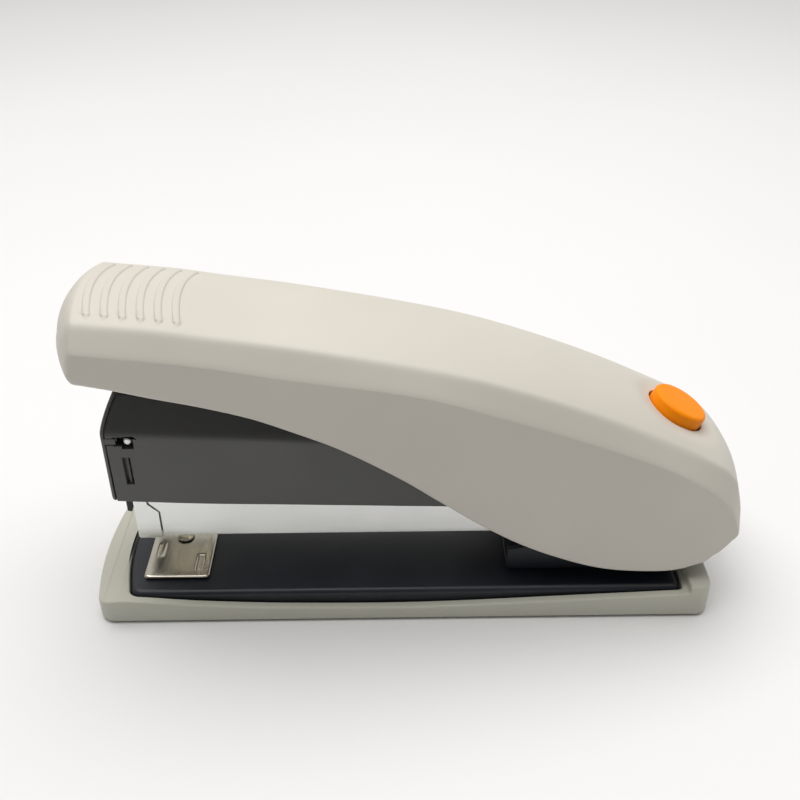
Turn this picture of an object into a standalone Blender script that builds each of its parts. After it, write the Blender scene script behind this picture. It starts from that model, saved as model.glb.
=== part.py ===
"""Front-loading desktop stapler, hand operated, as separate named pieces.

Frame: origin on the desk under the middle of the whole stapler, +X to the rear, the mouth
towards -X, +Z up.  Sizes are written in millimetres, with x counted from a line 56 mm ahead of the
hinge pin, and are turned into metres in the part's own frame when a piece is made.
"""

from math import cos, pi, radians, sin

import bmesh
import bpy
from mathutils import Matrix, Vector

MM = 0.001
GAP = 0.3

# The middle of the whole stapler lies this far behind the line that x is counted from
FRAME_SHIFT = Vector((-2.45, 0.0, 0.0))

# Joint axes
HINGE_X, HINGE_Z = 56.0, 22.0
ANVIL_X = -52.75
LEVER_X, LEVER_Z = 10.0, 38.0
LATCH_X, LATCH_Z = 47.5, 41.6
CAM_X, CAM_Z = -30.0, 56.0
DRIVE_PIN_X, DRIVE_PIN_Z = -56.8, 46.0
BLADE_X = -59.85

# Pins and the bores they turn in
HINGE_PIN_RADIUS, HINGE_BORE, HINGE_PIN_REACH = 2.0, 2.3, 14.8
ANVIL_PIN_RADIUS, ANVIL_BORE = 1.4, 1.8
LEVER_PIN_RADIUS, LEVER_BORE, LEVER_PIN_REACH = 1.2, 1.5, 7.4
CAM_PIN_RADIUS, CAM_BORE, CAM_PIN_REACH = 1.5, 1.8, 7.2
LATCH_PIN_RADIUS, LATCH_BORE = 1.0, 1.3
PUSHER_ROD_RADIUS, ROD_POST_BORE, PUSHER_BORE = 1.0, 1.3, 1.35
RIVET_RADIUS, RIVET_BORE = 1.2, 1.5
SCREW_RADIUS, SCREW_BORE = 1.3, 1.6

# Base
BASE_FRONT, BASE_REAR = -72.3, 71.0
BASE_BOW, BASE_CORNER, BASE_REAR_CORNER = 1.8, 4.0, 3.0
BASE_HALF_WIDTH = 20.65
TRAY_BOTTOM = 0.6
TRAY_FLOOR = 2.4
PLATE_HALF_WIDTH = 18.3
PLATE_FRONT, PLATE_REAR = -65.1, 64.4
PLATE_BOW = 2.1
PLATE_TOP = 7.3
SHEET = 1.0
BRACKET_HALF_WIDTH = 12.0
BRACKET_SHEET = 1.2
BRACKET_FRONT, BRACKET_REAR = 24.5, 63.5
FOOT_RADIUS = 4.5
FOOT_SPOTS = {
    "foot_front_left": (-60.0, -13.5),
    "foot_front_right": (-60.0, 13.5),
    "foot_rear_left": (61.0, -13.5),
    "foot_rear_right": (61.0, 13.5),
}
RIVET_SPOTS = {
    "bracket_rivet_1": (31.0, -7.0),
    "bracket_rivet_2": (31.0, 7.0),
    "bracket_rivet_3": (59.0, -7.0),
    "bracket_rivet_4": (59.0, 7.0),
}
SCREW_SPOTS = {"base_screw_front": -30.0, "base_screw_rear": 14.0}

# Anvil
ANVIL_HALF_LENGTH = 14.1
ANVIL_HALF_WIDTH = 7.6
ANVIL_BOTTOM = PLATE_TOP + GAP
ANVIL_TOP = ANVIL_BOTTOM + 0.8
POCKET_OFFSET = 4.9

# Magazine drawer
CHANNEL_HALF_WIDTH = 8.0
CHANNEL_SHEET = 0.9
CHANNEL_BOTTOM = 15.9
CHANNEL_FLOOR = CHANNEL_BOTTOM + 0.8
RAIL_TOP, STAPLE_TOP = 22.3, 23.2
STAPLE_HALF_WIDTH, STAPLE_WIRE = 6.45, 0.5
CHANNEL_REAR = 42.0
FLANGE_Z = 29.6
NOSE_FRONT = -61.5
SEAM_X = -56.0
STAPLE_FRONT = -59.0
STAPLE_REAR = -33.0
RAIL_REAR = 14.0
ROD_Z = 30.0

# Head
FRAME_HALF_WIDTH = 10.4
FRAME_SHEET = 0.9
FRAME_LIP_Z = 28.2
FRAME_WEB_TOP = 34.0
HOUSING_HALF_WIDTH = 13.0
HOUSING_WALL = 1.8
HOUSING_TOP_HALF_WIDTH = 10.0
HEAD_FRONT = -64.3
SEAM_SET_BACK = 0.9
HOUSING_REAR = 20.0

# Handle
COVER_WALL = 2.0
COVER_HALF_WIDTH = 18.3
COVER_CREASE_HALF_WIDTH = 14.5
COVER_CROWN = 2.2
COVER_FRONT, FRONT_BOW = -71.85, 5.4
COVER_REAR, REAR_BOW, REAR_BULGE = 77.2, 2.2, 1.4
BROW, SIDE_BROW = 6.0, 1.5
LEG_HALF_WIDTH = 13.5
LEG_SHEET = 1.0

# Release button: its axis leans back with the rear slope of the handle
BUTTON_TOP = Vector((63.4, 0.0, 46.6))
BUTTON_LEAN = radians(27.0)
BUTTON_AXIS = Vector((sin(BUTTON_LEAN), 0.0, cos(BUTTON_LEAN)))
BUTTON_RADIUS = 6.5
BUTTON_HOLE_RADIUS = BUTTON_RADIUS + 0.5
FLANGE_RADIUS = BUTTON_RADIUS + 0.8
FLANGE_TOP, FLANGE_BOTTOM = 6.0, 6.8
STEM_RADIUS, STEM_END = 2.0, 13.0
GUIDE_DEPTH = 12.2
LATCH_PAD_DEPTH = 15.2
LATCH_BOSS_RADIUS = 2.0

COLOURS = {
    "warm_grey": ((0.62, 0.60, 0.54), 0.45, 0.0),
    "dark_grey": ((0.075, 0.075, 0.073), 0.55, 0.0),
    "black_steel": ((0.012, 0.014, 0.02), 0.35, 0.0),
    "zinc": ((0.72, 0.74, 0.73), 0.35, 1.0),
    "nickel": ((0.68, 0.65, 0.58), 0.25, 1.0),
    "spring_steel": ((0.45, 0.45, 0.46), 0.3, 1.0),
    "orange": ((1.0, 0.30, 0.01), 0.35, 0.0),
    "rubber": ((0.03, 0.03, 0.03), 0.9, 0.0),
    "black_plastic": ((0.02, 0.02, 0.022), 0.5, 0.0),
}

materials = {}


# ---------------------------------------------------------------- helpers

def material(name):
    """Return the named Principled material, made once."""
    if name not in materials:
        colour, roughness, metallic = COLOURS[name]
        mat = bpy.data.materials.new(name)
        mat.use_nodes = True
        shader = mat.node_tree.nodes["Principled BSDF"]
        shader.inputs["Base Color"].default_value = (*colour, 1.0)
        shader.inputs["Roughness"].default_value = roughness
        shader.inputs["Metallic"].default_value = metallic
        materials[name] = mat
    return materials[name]


def new_object(name, bm, origin):
    """Turn a bmesh in millimetres into an object in metres with its origin at origin."""
    bmesh.ops.recalc_face_normals(bm, faces=bm.faces)
    if bm.calc_volume(signed=True) < 0.0:
        bmesh.ops.reverse_faces(bm, faces=bm.faces)
    bmesh.ops.translate(bm, verts=bm.verts, vec=-Vector(origin))
    bmesh.ops.scale(bm, verts=bm.verts, vec=(MM, MM, MM))
    mesh = bpy.data.meshes.new(name)
    bm.to_mesh(mesh)
    bm.free()
    obj = bpy.data.objects.new(name, mesh)
    obj.location = (Vector(origin) + FRAME_SHIFT) * MM
    bpy.context.collection.objects.link(obj)
    return obj


def part(name, bm, colour, origin=(0.0, 0.0, 0.0), smooth=False):
    """Make one named piece of the stapler."""
    obj = new_object(name, bm, origin)
    obj.data.materials.append(material(colour))
    if smooth:
        obj.data.shade_smooth()
        obj.data.set_sharp_from_angle(angle=radians(35.0))
    return obj


def cut(obj, bm, solver="EXACT"):
    """Cut a bmesh out of a piece with a Boolean modifier and a hidden cutter."""
    cutter = new_object("cutter_" + obj.name, bm, (0.0, 0.0, 0.0))
    cutter.hide_render = True
    cutter.display_type = "WIRE"
    modifier = obj.modifiers.new("cut", "BOOLEAN")
    modifier.operation = "DIFFERENCE"
    modifier.solver = solver
    modifier.object = cutter


def loft(rings):
    """Closed body through rings that all have the same number of points.

    The sides of a body with more than two rings may twist, so they are made of triangles.
    """
    bm = bmesh.new()
    loops = [[bm.verts.new(point) for point in ring] for ring in rings]
    count = len(loops[0])
    for first, second in zip(loops, loops[1:]):
        for i in range(count):
            j = (i + 1) % count
            bm.faces.new((first[i], first[j], second[j], second[i]))
    bm.normal_update()
    if len(rings) > 2:
        bmesh.ops.triangulate(bm, faces=bm.faces)
    bm.faces.new(loops[0])
    bm.faces.new(loops[-1])
    return bm


def across(outline, y_low, y_high):
    """Body of an (x, z) outline that runs from y_low to y_high."""
    return loft([[(x, y, z) for x, z in outline] for y in (y_low, y_high)])


def upright(outline, z_low, z_high):
    """Body of an (x, y) outline that stands from z_low to z_high."""
    return loft([[(x, y, z) for x, y in outline] for z in (z_low, z_high)])


def lengthways(outline, x_low, x_high):
    """Body of a (y, z) outline that runs from x_low to x_high."""
    return loft([[(x, y, z) for y, z in outline] for x in (x_low, x_high)])


def block(x_low, x_high, y_low, y_high, z_low, z_high):
    """Rectangular block."""
    return upright([(x_low, y_low), (x_high, y_low), (x_high, y_high), (x_low, y_high)], z_low, z_high)


def circle(radius, count):
    """Points of a circle about the origin."""
    return [(radius * cos(2 * pi * i / count), radius * sin(2 * pi * i / count)) for i in range(count)]


def turned(start, axis, profile, count=24):
    """Solid of revolution: profile lists (distance along the axis, radius)."""
    axis = Vector(axis).normalized()
    side = axis.orthogonal().normalized()
    other = axis.cross(side)
    rings = []
    for distance, radius in profile:
        centre = Vector(start) + axis * distance
        rings.append([centre + side * u + other * v for u, v in circle(radius, count)])
    return loft(rings)


def rod(start, end, radius, count=20):
    """Plain round rod between two points."""
    axis = Vector(end) - Vector(start)
    return turned(start, axis, [(0.0, radius), (axis.length, radius)], count)


def coil(start, axis, length, radius, wire, turns, steps=14, sides=6):
    """Closed helical spring with flat-lying end turns."""
    axis = Vector(axis).normalized()
    side = axis.orthogonal().normalized()
    other = axis.cross(side)
    count = int(turns * steps)
    rings = []
    for i in range(count + 1):
        share = i / count
        turn = 2 * pi * turns * share
        rise = wire + (length - 2 * wire) * share
        outward = side * cos(turn) + other * sin(turn)
        centre = Vector(start) + axis * rise + outward * radius
        rings.append([centre + outward * u + axis * v for u, v in circle(wire, sides)])
    return loft(rings)


def arc(centre, radius, first, last, count):
    """Points along an arc, angles in degrees."""
    points = []
    for i in range(count + 1):
        angle = radians(first + (last - first) * i / count)
        points.append((centre[0] + radius * cos(angle), centre[1] + radius * sin(angle)))
    return points


def between(curve, x):
    """Height of a smooth curve through (x, z) points at x (Catmull-Rom)."""
    last = len(curve) - 2
    index = 0
    while index < last and x > curve[index + 1][0]:
        index += 1
    x0, z0 = curve[index]
    x1, z1 = curve[index + 1]
    before = curve[max(index - 1, 0)]
    after = curve[min(index + 2, len(curve) - 1)]
    slope0 = (z1 - before[1]) / (x1 - before[0])
    slope1 = (after[1] - z0) / (after[0] - x0)
    span = x1 - x0
    t = min(max((x - x0) / span, 0.0), 1.0)
    return (
        (2 * t**3 - 3 * t**2 + 1) * z0
        + (t**3 - 2 * t**2 + t) * span * slope0
        + (3 * t**2 - 2 * t**3) * z1
        + (t**3 - t**2) * span * slope1
    )


def shares(count):
    """Evenly spread numbers from 0 to 1."""
    return [i / count for i in range(count + 1)]


# ---------------------------------------------------------------- base

# Height of the tray's outer rim along its length
TRAY_RIM = [(-72.3, 5.3), (-65.7, 6.9), (-46.5, 5.3), (-26.0, 4.3), (4.0, 4.1), (40.7, 5.7), (65.5, 6.9)]
REAR_BLOCK_X = 66.0
REAR_BLOCK_TOP = 8.95


def bow(half_width, front, drop, corner, rear, rear_corner):
    """Plan outline of the base: bowed front, straight sides, square rear."""
    count = 12
    points = []
    for share in shares(count):
        y = (half_width - corner) * (2 * share - 1)
        points.append((front + drop * (y / (half_width - corner)) ** 2, -y))
    side_front = front + drop
    points += arc((side_front + corner, -half_width + corner), corner, 180, 270, 5)[1:]
    points += arc((rear - rear_corner, -half_width + rear_corner), rear_corner, 270, 360, 3)
    points += arc((rear - rear_corner, half_width - rear_corner), rear_corner, 0, 90, 3)
    points += arc((side_front + corner, half_width - corner), corner, 90, 180, 5)[:-1]
    return points


def base_tray():
    outline = bow(BASE_HALF_WIDTH, BASE_FRONT, BASE_BOW, BASE_CORNER, BASE_REAR, BASE_REAR_CORNER)
    tray = part("base_tray", upright(outline, TRAY_BOTTOM, REAR_BLOCK_TOP), "warm_grey")
    rim = [TRAY_RIM[0][0] + (TRAY_RIM[-1][0] - TRAY_RIM[0][0]) * s for s in shares(18)]
    above = [(x, between(TRAY_RIM, x)) for x in rim]
    above = [(BASE_FRONT - 5.0, 4.9)] + above + [(REAR_BLOCK_X, 20.0), (BASE_FRONT - 5.0, 20.0)]
    cut(tray, across(above, -30.0, 30.0))
    recess = bow(
        PLATE_HALF_WIDTH + GAP, PLATE_FRONT - GAP, PLATE_BOW, 2.5, PLATE_REAR + GAP, 1.0
    )
    holes = [upright(recess, TRAY_FLOOR, 20.0)]
    holes.append(turned((ANVIL_X, 0, -1), (0, 0, 1), [(0, 4.2), (8, 4.2)]))
    for x, y in FOOT_SPOTS.values():
        holes.append(turned((x, y, -1), (0, 0, 1), [(0, FOOT_RADIUS + GAP), (2.3, FOOT_RADIUS + GAP)]))
    for x in SCREW_SPOTS.values():
        holes.append(turned((x, 0, -1), (0, 0, 1), [(0, SCREW_BORE), (8, SCREW_BORE)], 12))
    for hole in holes:
        cut(tray, hole)


def base_plate():
    outer = bow(PLATE_HALF_WIDTH, PLATE_FRONT, PLATE_BOW, 2.2, PLATE_REAR, 0.8)
    inner = bow(
        PLATE_HALF_WIDTH - SHEET, PLATE_FRONT + SHEET, PLATE_BOW, 1.6, PLATE_REAR - SHEET, 0.5
    )
    plate = part("base_plate", upright(outer, TRAY_FLOOR + GAP, PLATE_TOP), "black_steel")
    cut(plate, upright(inner, 0.0, PLATE_TOP - SHEET))
    cut(plate, turned((ANVIL_X, 0, 0), (0, 0, 1), [(0, ANVIL_BORE), (20, ANVIL_BORE)], 16))
    for x, y in RIVET_SPOTS.values():
        cut(plate, turned((x, y, 0), (0, 0, 1), [(0, RIVET_BORE), (20, RIVET_BORE)], 12))


def feet():
    for name, (x, y) in FOOT_SPOTS.items():
        profile = [(0.0, FOOT_RADIUS - 0.4), (0.4, FOOT_RADIUS), (1.0, FOOT_RADIUS)]
        part(name, turned((x, y, 0), (0, 0, 1), profile), "rubber", (x, y, 0), smooth=True)


def rear_bracket():
    floor = PLATE_TOP + GAP
    cheek = [(BRACKET_FRONT, floor), (BRACKET_REAR, floor), (BRACKET_REAR, 19.0)]
    cheek += arc((HINGE_X, HINGE_Z), 7.0, -20, 150, 10)
    cheek += [(42.0, 19.0), (30.0, 14.5), (BRACKET_FRONT, 13.5)]
    bracket = part("rear_bracket", across(cheek, -BRACKET_HALF_WIDTH, BRACKET_HALF_WIDTH), "black_steel")
    inside = BRACKET_HALF_WIDTH - BRACKET_SHEET
    cut(bracket, block(20.0, 70.0, -inside, inside, floor + BRACKET_SHEET, 40.0))
    cut(bracket, rod((HINGE_X, -20, HINGE_Z), (HINGE_X, 20, HINGE_Z), HINGE_BORE))
    for x, y in RIVET_SPOTS.values():
        cut(bracket, turned((x, y, 0), (0, 0, 1), [(0, RIVET_BORE), (20, RIVET_BORE)], 12))


def bracket_rivets():
    top = PLATE_TOP + GAP + BRACKET_SHEET + GAP
    under = PLATE_TOP - SHEET - GAP
    for name, (x, y) in RIVET_SPOTS.items():
        profile = [(0.0, 2.0), (0.7, 2.2), (0.7, RIVET_RADIUS), (top - under + 0.7, RIVET_RADIUS)]
        profile += [(top - under + 0.7, 2.4), (top - under + 1.2, 2.1), (top - under + 1.5, 1.0)]
        part(name, turned((x, y, under - 0.7), (0, 0, 1), profile, 16), "spring_steel", (x, y, under))


def base_screws():
    for name, x in SCREW_SPOTS.items():
        profile = [(0.0, SCREW_RADIUS), (5.2, SCREW_RADIUS)]
        part(name, turned((x, 0, 0.8), (0, 0, 1), profile, 12), "spring_steel", (x, 0, 0.8))


def hinge_pin():
    reach, radius, edge = HINGE_PIN_REACH, HINGE_PIN_RADIUS, 0.4
    profile = [(0.0, radius - edge), (edge, radius), (2 * reach - edge, radius), (2 * reach, radius - edge)]
    pin = turned((HINGE_X, -reach, HINGE_Z), (0, 1, 0), profile)
    part("hinge_pin", pin, "spring_steel", (HINGE_X, 0, HINGE_Z), smooth=True)


def return_spring():
    low = PLATE_TOP + 2 * GAP + BRACKET_SHEET
    spring = coil((47.0, 0, low), (0, 0, 1), 17.0 - low, 4.0, 0.5, 4)
    part("return_spring", spring, "spring_steel", (47.0, 0, low), smooth=True)


# ---------------------------------------------------------------- anvil

def anvil_plate():
    corner = 1.0
    outline = []
    for sx, sy, first in ((1, 1, 0), (-1, 1, 90), (-1, -1, 180), (1, -1, 270)):
        centre = (
            ANVIL_X + sx * (ANVIL_HALF_WIDTH - corner),
            sy * (ANVIL_HALF_LENGTH - corner),
        )
        outline += arc(centre, corner, first, first + 90, 3)
    anvil = part("anvil_plate", upright(outline, ANVIL_BOTTOM, ANVIL_TOP), "nickel", (ANVIL_X, 0, 0))
    cut(anvil, turned((ANVIL_X, 0, 0), (0, 0, 1), [(0, ANVIL_BORE), (20, ANVIL_BORE)], 16))
    pockets = ((-POCKET_OFFSET, 1.5, 7.3), (POCKET_OFFSET, 5.9, 12.0))
    for offset, near, far in pockets:
        for side in (-1, 1):
            low, high = sorted((side * near, side * far))
            x = ANVIL_X + offset
            cut(anvil, block(x - 1.2, x + 1.2, low, high, ANVIL_TOP - 0.5, 20.0))


def anvil_pin():
    knob = [(0.0, 2.6), (0.5, 3.2), (2.2, 3.2)]
    shank = [(2.2, ANVIL_PIN_RADIUS), (7.7, ANVIL_PIN_RADIUS)]
    profile = knob + shank + [(7.7, 2.1), (8.0, 2.0), (8.25, 1.2)]
    pin = turned((ANVIL_X, 0, 1.0), (0, 0, 1), profile)
    part("anvil_pin", pin, "nickel", (ANVIL_X, 0, 0), smooth=True)


def anvil_spring():
    low, high = 3.5, PLATE_TOP - SHEET - GAP
    spring = coil((ANVIL_X, 0, low), (0, 0, 1), high - low, 2.4, 0.3, 3)
    part("anvil_spring", spring, "spring_steel", (ANVIL_X, 0, low), smooth=True)


# ---------------------------------------------------------------- magazine drawer

def magazine_channel():
    half = CHANNEL_HALF_WIDTH
    inside = half - CHANNEL_SHEET
    low, rim = CHANNEL_BOTTOM, FLANGE_Z + 0.8
    section = [
        (-half, low), (half, low), (half, FLANGE_Z), (half + 1.1, FLANGE_Z), (half + 1.1, rim),
        (inside, rim), (inside, CHANNEL_FLOOR), (-inside, CHANNEL_FLOOR), (-inside, rim),
        (-half - 1.1, rim), (-half - 1.1, FLANGE_Z), (-half, FLANGE_Z),
    ]
    front = STAPLE_FRONT
    channel = part("magazine_channel", lengthways(section, front, CHANNEL_REAR), "zinc")
    seam = [(front - 1, 10.0), (SEAM_X + GAP, 10.0), (SEAM_X + GAP, 22.8), (-58.0, 25.2), (-58.0, 29.0)]
    seam += [(-57.0, 29.0), (-57.0, 35.0), (front - 1, 35.0)]
    cut(channel, across(seam, inside - 0.01, 20.0))
    cut(channel, across(seam, -20.0, -inside + 0.01))
    cut(channel, block(16.0, 30.0, -inside + 0.05, inside - 0.05, 10.0, 20.0))


def magazine_nose():
    half = CHANNEL_HALF_WIDTH
    inside = half - CHANNEL_SHEET
    outline = [
        (NOSE_FRONT, 15.3), (NOSE_FRONT + 0.3, 15.0), (SEAM_X, 15.0), (SEAM_X, 22.7),
        (-58.4, 25.0), (-58.4, 28.6), (NOSE_FRONT, 28.6),
    ]
    nose = part("magazine_nose", across(outline, -half, half), "zinc")
    cut(nose, block(NOSE_FRONT + 0.9, -50.0, -inside, inside, CHANNEL_BOTTOM - GAP, 40.0))
    cut(nose, block(NOSE_FRONT + 0.9, STAPLE_FRONT + 0.2, -inside, inside, 10.0, 40.0))


def drawer_pull():
    outline = [(-63.4, 22.4), (-62.4, 22.1), (-61.8, 24.0), (-61.8, 28.8), (-63.4, 28.8)]
    part("drawer_pull", across(outline, -7.0, 7.0), "black_plastic")


def staple_rail():
    half, sheet = 5.6, 0.8
    low, high = CHANNEL_FLOOR + GAP, RAIL_TOP
    section = [
        (-half, low), (-half + sheet, low), (-half + sheet, high - sheet),
        (half - sheet, high - sheet), (half - sheet, low), (half, low), (half, high), (-half, high),
    ]
    part("staple_rail", lengthways(section, STAPLE_FRONT, RAIL_REAR), "zinc")


def staple_strip():
    half, wire = STAPLE_HALF_WIDTH, STAPLE_WIRE
    low, high = CHANNEL_FLOOR + GAP, STAPLE_TOP
    section = [
        (-half, low), (-half + wire, low), (-half + wire, high - wire),
        (half - wire, high - wire), (half - wire, low), (half, low), (half, high), (-half, high),
    ]
    part("staple_strip", lengthways(section, STAPLE_FRONT, STAPLE_REAR), "zinc")


def drawer_hook():
    hook = block(CHANNEL_REAR - 1.0, CHANNEL_REAR - 0.1, -5.4, 5.4, CHANNEL_FLOOR + GAP, RAIL_TOP)
    part("drawer_hook", hook, "spring_steel")


# ---------------------------------------------------------------- pusher

def pusher():
    start, end = STAPLE_REAR + GAP, STAPLE_REAR + 9.0
    section = [
        (-6.75, 17.3), (-5.95, 17.3), (-5.95, 22.7), (5.95, 22.7), (5.95, 17.3), (6.75, 17.3),
        (6.75, 32.0), (-6.75, 32.0),
    ]
    slider = part("pusher", lengthways(section, start, end), "black_plastic", (start, 0, ROD_Z))
    cut(slider, rod((start - 5, 0, ROD_Z), (end + 5, 0, ROD_Z), PUSHER_BORE))


def pusher_rod():
    rod_body = rod((-56.0, 0, ROD_Z), (34.0, 0, ROD_Z), PUSHER_ROD_RADIUS, 16)
    part("pusher_rod", rod_body, "spring_steel", (0, 0, ROD_Z), smooth=True)


def rod_posts():
    for name, x in (("rod_post_front", -55.5), ("rod_post_rear", 32.5)):
        post = part(name, block(x - 0.5, x + 0.5, -6.5, 6.5, 28.4, 32.8), "spring_steel")
        cut(post, rod((x - 5, 0, ROD_Z), (x + 5, 0, ROD_Z), ROD_POST_BORE, 16))


def pusher_spring():
    start = STAPLE_REAR + 9.0 + GAP
    spring = coil((start, 0, ROD_Z), (1, 0, 0), 32.0 - GAP - start, 1.85, 0.3, 14, 12, 5)
    part("pusher_spring", spring, "spring_steel", (32.0, 0, ROD_Z), smooth=True)


# ---------------------------------------------------------------- head

def head_frame():
    half = FRAME_HALF_WIDTH
    inside = half - FRAME_SHEET
    side = [(-57.5, FRAME_LIP_Z), (43.4, FRAME_LIP_Z), (43.4, 17.0), (60.0, 15.5)]
    side += arc((HINGE_X, HINGE_Z), 6.5, -30, 110, 8)
    side += [(50.4, 33.0), (50.4, 42.0), (49.0, 44.2), (45.5, 44.2), (43.6, 42.0), (43.6, FRAME_WEB_TOP)]
    side += [(-53.0, FRAME_WEB_TOP), (-53.0, 49.0), (-61.5, 49.0), (-61.5, 32.0), (-57.5, 32.0)]
    frame = part("head_frame", across(side, -half, half), "zinc")
    web_low = FRAME_WEB_TOP - 0.9
    cut(frame, block(-70.0, 70.0, -inside, inside, FRAME_LIP_Z + 0.8, web_low))
    cut(frame, block(-70.0, 70.0, -8.4, 8.4, 10.0, web_low))
    cut(frame, block(43.4, 70.0, -inside, inside, 10.0, 60.0))
    cut(frame, block(36.0, 50.0, -inside, inside, web_low - 1.0, 60.0))
    cut(frame, block(-70.0, -57.5, -inside, inside, 20.0, 60.0))
    cut(frame, block(-58.0, 50.0, -inside, inside, FRAME_WEB_TOP, 60.0))
    cut(frame, rod((HINGE_X, -20, HINGE_Z), (HINGE_X, 20, HINGE_Z), HINGE_BORE))
    cut(frame, rod((LATCH_X, -20, LATCH_Z), (LATCH_X, 20, LATCH_Z), LATCH_BORE, 16))


HOUSING_BOTTOM = [(-63.4, 29.9), (-45.0, 28.9), (-25.0, 28.3), (4.0, 27.4), (20.0, 27.0)]
HOUSING_CREASE = [(-63.4, 47.8), (-43.0, 46.7), (-24.0, 45.9), (0.0, 44.4), (20.0, 42.6)]
HOUSING_TOP = [(-63.4, 57.2), (-45.0, 55.6), (-25.0, 53.2), (0.0, 49.8), (20.0, 46.4)]
HOUSING_STATIONS = (-45.0, -25.0, 0.0)
HEAD_CREASE_Z = 47.8
HEAD_TOP_Z = 56.9
HEAD_LEAN = 3.6


def housing_ring(x, side, top_side, lift, drop):
    """Six-cornered section of the head housing."""
    low = between(HOUSING_BOTTOM, x) + lift
    crease = between(HOUSING_CREASE, x)
    top = between(HOUSING_TOP, x) - drop
    return [
        (x, -side, low), (x, side, low), (x, side, crease),
        (x, top_side, top), (x, -top_side, top), (x, -side, crease),
    ]


def sloped_front(x):
    """Cutter that leans the front of the head back above its crease."""
    outline = [
        (x, HEAD_CREASE_Z), (x + HEAD_LEAN, HEAD_TOP_Z), (x + HEAD_LEAN, 70.0), (-80.0, 70.0),
        (-80.0, HEAD_CREASE_Z),
    ]
    return across(outline, -20.0, 20.0)


def head_housing():
    front = HEAD_FRONT + SEAM_SET_BACK + 0.2
    side, top_side, wall = HOUSING_HALF_WIDTH, HOUSING_TOP_HALF_WIDTH, HOUSING_WALL
    outer = [housing_ring(x, side, top_side, 0.0, 0.0) for x in (front, *HOUSING_STATIONS, HOUSING_REAR)]
    inner = [
        housing_ring(x, side - wall, top_side - wall, -5.0, wall)
        for x in (front - 4.0, *HOUSING_STATIONS, HOUSING_REAR + 3.0)
    ]
    housing = part("head_housing", loft(outer), "dark_grey")
    cutters = [sloped_front(front), loft(inner), block(-50.0, 30.0, -8.0, 8.0, 40.0, 70.0)]
    for y_low, y_high in ((-20.0, -10.0), (10.0, 20.0)):
        cutters.append(block(-59.9, -57.4, y_low, y_high, 44.2, 47.4))
        cutters.append(block(-60.3, -58.6, y_low, y_high, 34.8, 41.9))
    for y_low, y_high in ((-20.0, -12.0), (12.0, 20.0)):
        cutters.append(block(-66.0, -59.0, y_low, y_high, 45.1, 47.1))
    for cutter in cutters:
        cut(housing, cutter, "MANIFOLD")


def nose_cap():
    front = HEAD_FRONT
    back = front + SEAM_SET_BACK - GAP + 0.2
    profile = [
        (front, 30.8), (front + 0.3, 29.9), (back, 29.7), (back, HEAD_CREASE_Z),
        (back + HEAD_LEAN, HEAD_TOP_Z - 0.2), (front + HEAD_LEAN, HEAD_TOP_Z - 0.2), (front, HEAD_CREASE_Z),
    ]
    side, top_side = HOUSING_HALF_WIDTH, HOUSING_TOP_HALF_WIDTH
    cap = part("nose_cap", across(profile, -side, side), "dark_grey")
    corner = [(side, HEAD_CREASE_Z), (side + 5.0, HEAD_CREASE_Z), (side + 5.0, 70.0), (top_side - 4.4, 70.0)]
    cut(cap, lengthways(corner, -80.0, -50.0))
    cut(cap, lengthways([(-y, z) for y, z in corner], -80.0, -50.0))
    cut(cap, block(-70.0, -60.0, -9.6, 9.6, 20.0, 31.0))


def cap_pins():
    for name, side in (("cap_pin_left", -1), ("cap_pin_right", 1)):
        start = (-58.65, side * (FRAME_HALF_WIDTH + GAP), 45.9)
        profile = [(0.0, 0.85), (1.8, 0.85), (2.0, 0.6)]
        pin = turned(start, (0, side, 0), profile, 16)
        part(name, pin, "spring_steel", start, smooth=True)


def lever_bracket():
    low = FRAME_WEB_TOP + GAP
    side = [(4.0, low), (16.0, low), (16.0, 36.0)]
    side += arc((LEVER_X, LEVER_Z), 3.6, 0, 180, 8)
    side += [(4.0, 36.0)]
    bracket = part("lever_bracket", across(side, -6.8, 6.8), "spring_steel")
    cut(bracket, block(0.0, 20.0, -5.6, 5.6, low + 1.0, 60.0))
    cut(bracket, rod((LEVER_X, -10, LEVER_Z), (LEVER_X, 10, LEVER_Z), LEVER_BORE, 16))


def lever_pin():
    reach = LEVER_PIN_REACH
    pin = rod((LEVER_X, -reach, LEVER_Z), (LEVER_X, reach, LEVER_Z), LEVER_PIN_RADIUS, 16)
    part("lever_pin", pin, "spring_steel", (LEVER_X, 0, LEVER_Z), smooth=True)


def spring_seat():
    seat = block(44.0, 50.0, -FRAME_HALF_WIDTH + 1.2, FRAME_HALF_WIDTH - 1.2, 17.3, 18.3)
    part("spring_seat", seat, "spring_steel")


def latch_pin():
    start = (LATCH_X, -FRAME_HALF_WIDTH, LATCH_Z)
    end = (LATCH_X, FRAME_HALF_WIDTH, LATCH_Z)
    part("latch_pin", rod(start, end, LATCH_PIN_RADIUS, 16), "spring_steel", (LATCH_X, 0, LATCH_Z), smooth=True)


def handle_spring():
    low = FRAME_WEB_TOP + GAP
    spring = coil((26.5, 0, low), (0, 0, 1), 51.0 - low, 3.6, 0.45, 6)
    part("handle_spring", spring, "spring_steel", (26.5, 0, low), smooth=True)


# ---------------------------------------------------------------- driver

def driver_blade():
    low, high = 23.8, 49.0
    front, back = BLADE_X - 0.35, BLADE_X + 0.35
    outline = [
        (front, low), (back, low), (back, 43.0), (-55.0, 43.0), (-54.2, 44.0), (-54.2, 48.0),
        (-55.0, high), (front, high),
    ]
    blade = part("driver_blade", across(outline, -6.3, 6.3), "spring_steel", (BLADE_X, 0, low))
    cut(blade, block(back, -50.0, -5.5, 5.5, 40.0, 60.0))
    cut(blade, rod((DRIVE_PIN_X, -10, DRIVE_PIN_Z), (DRIVE_PIN_X, 10, DRIVE_PIN_Z), LEVER_BORE, 16))


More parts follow.
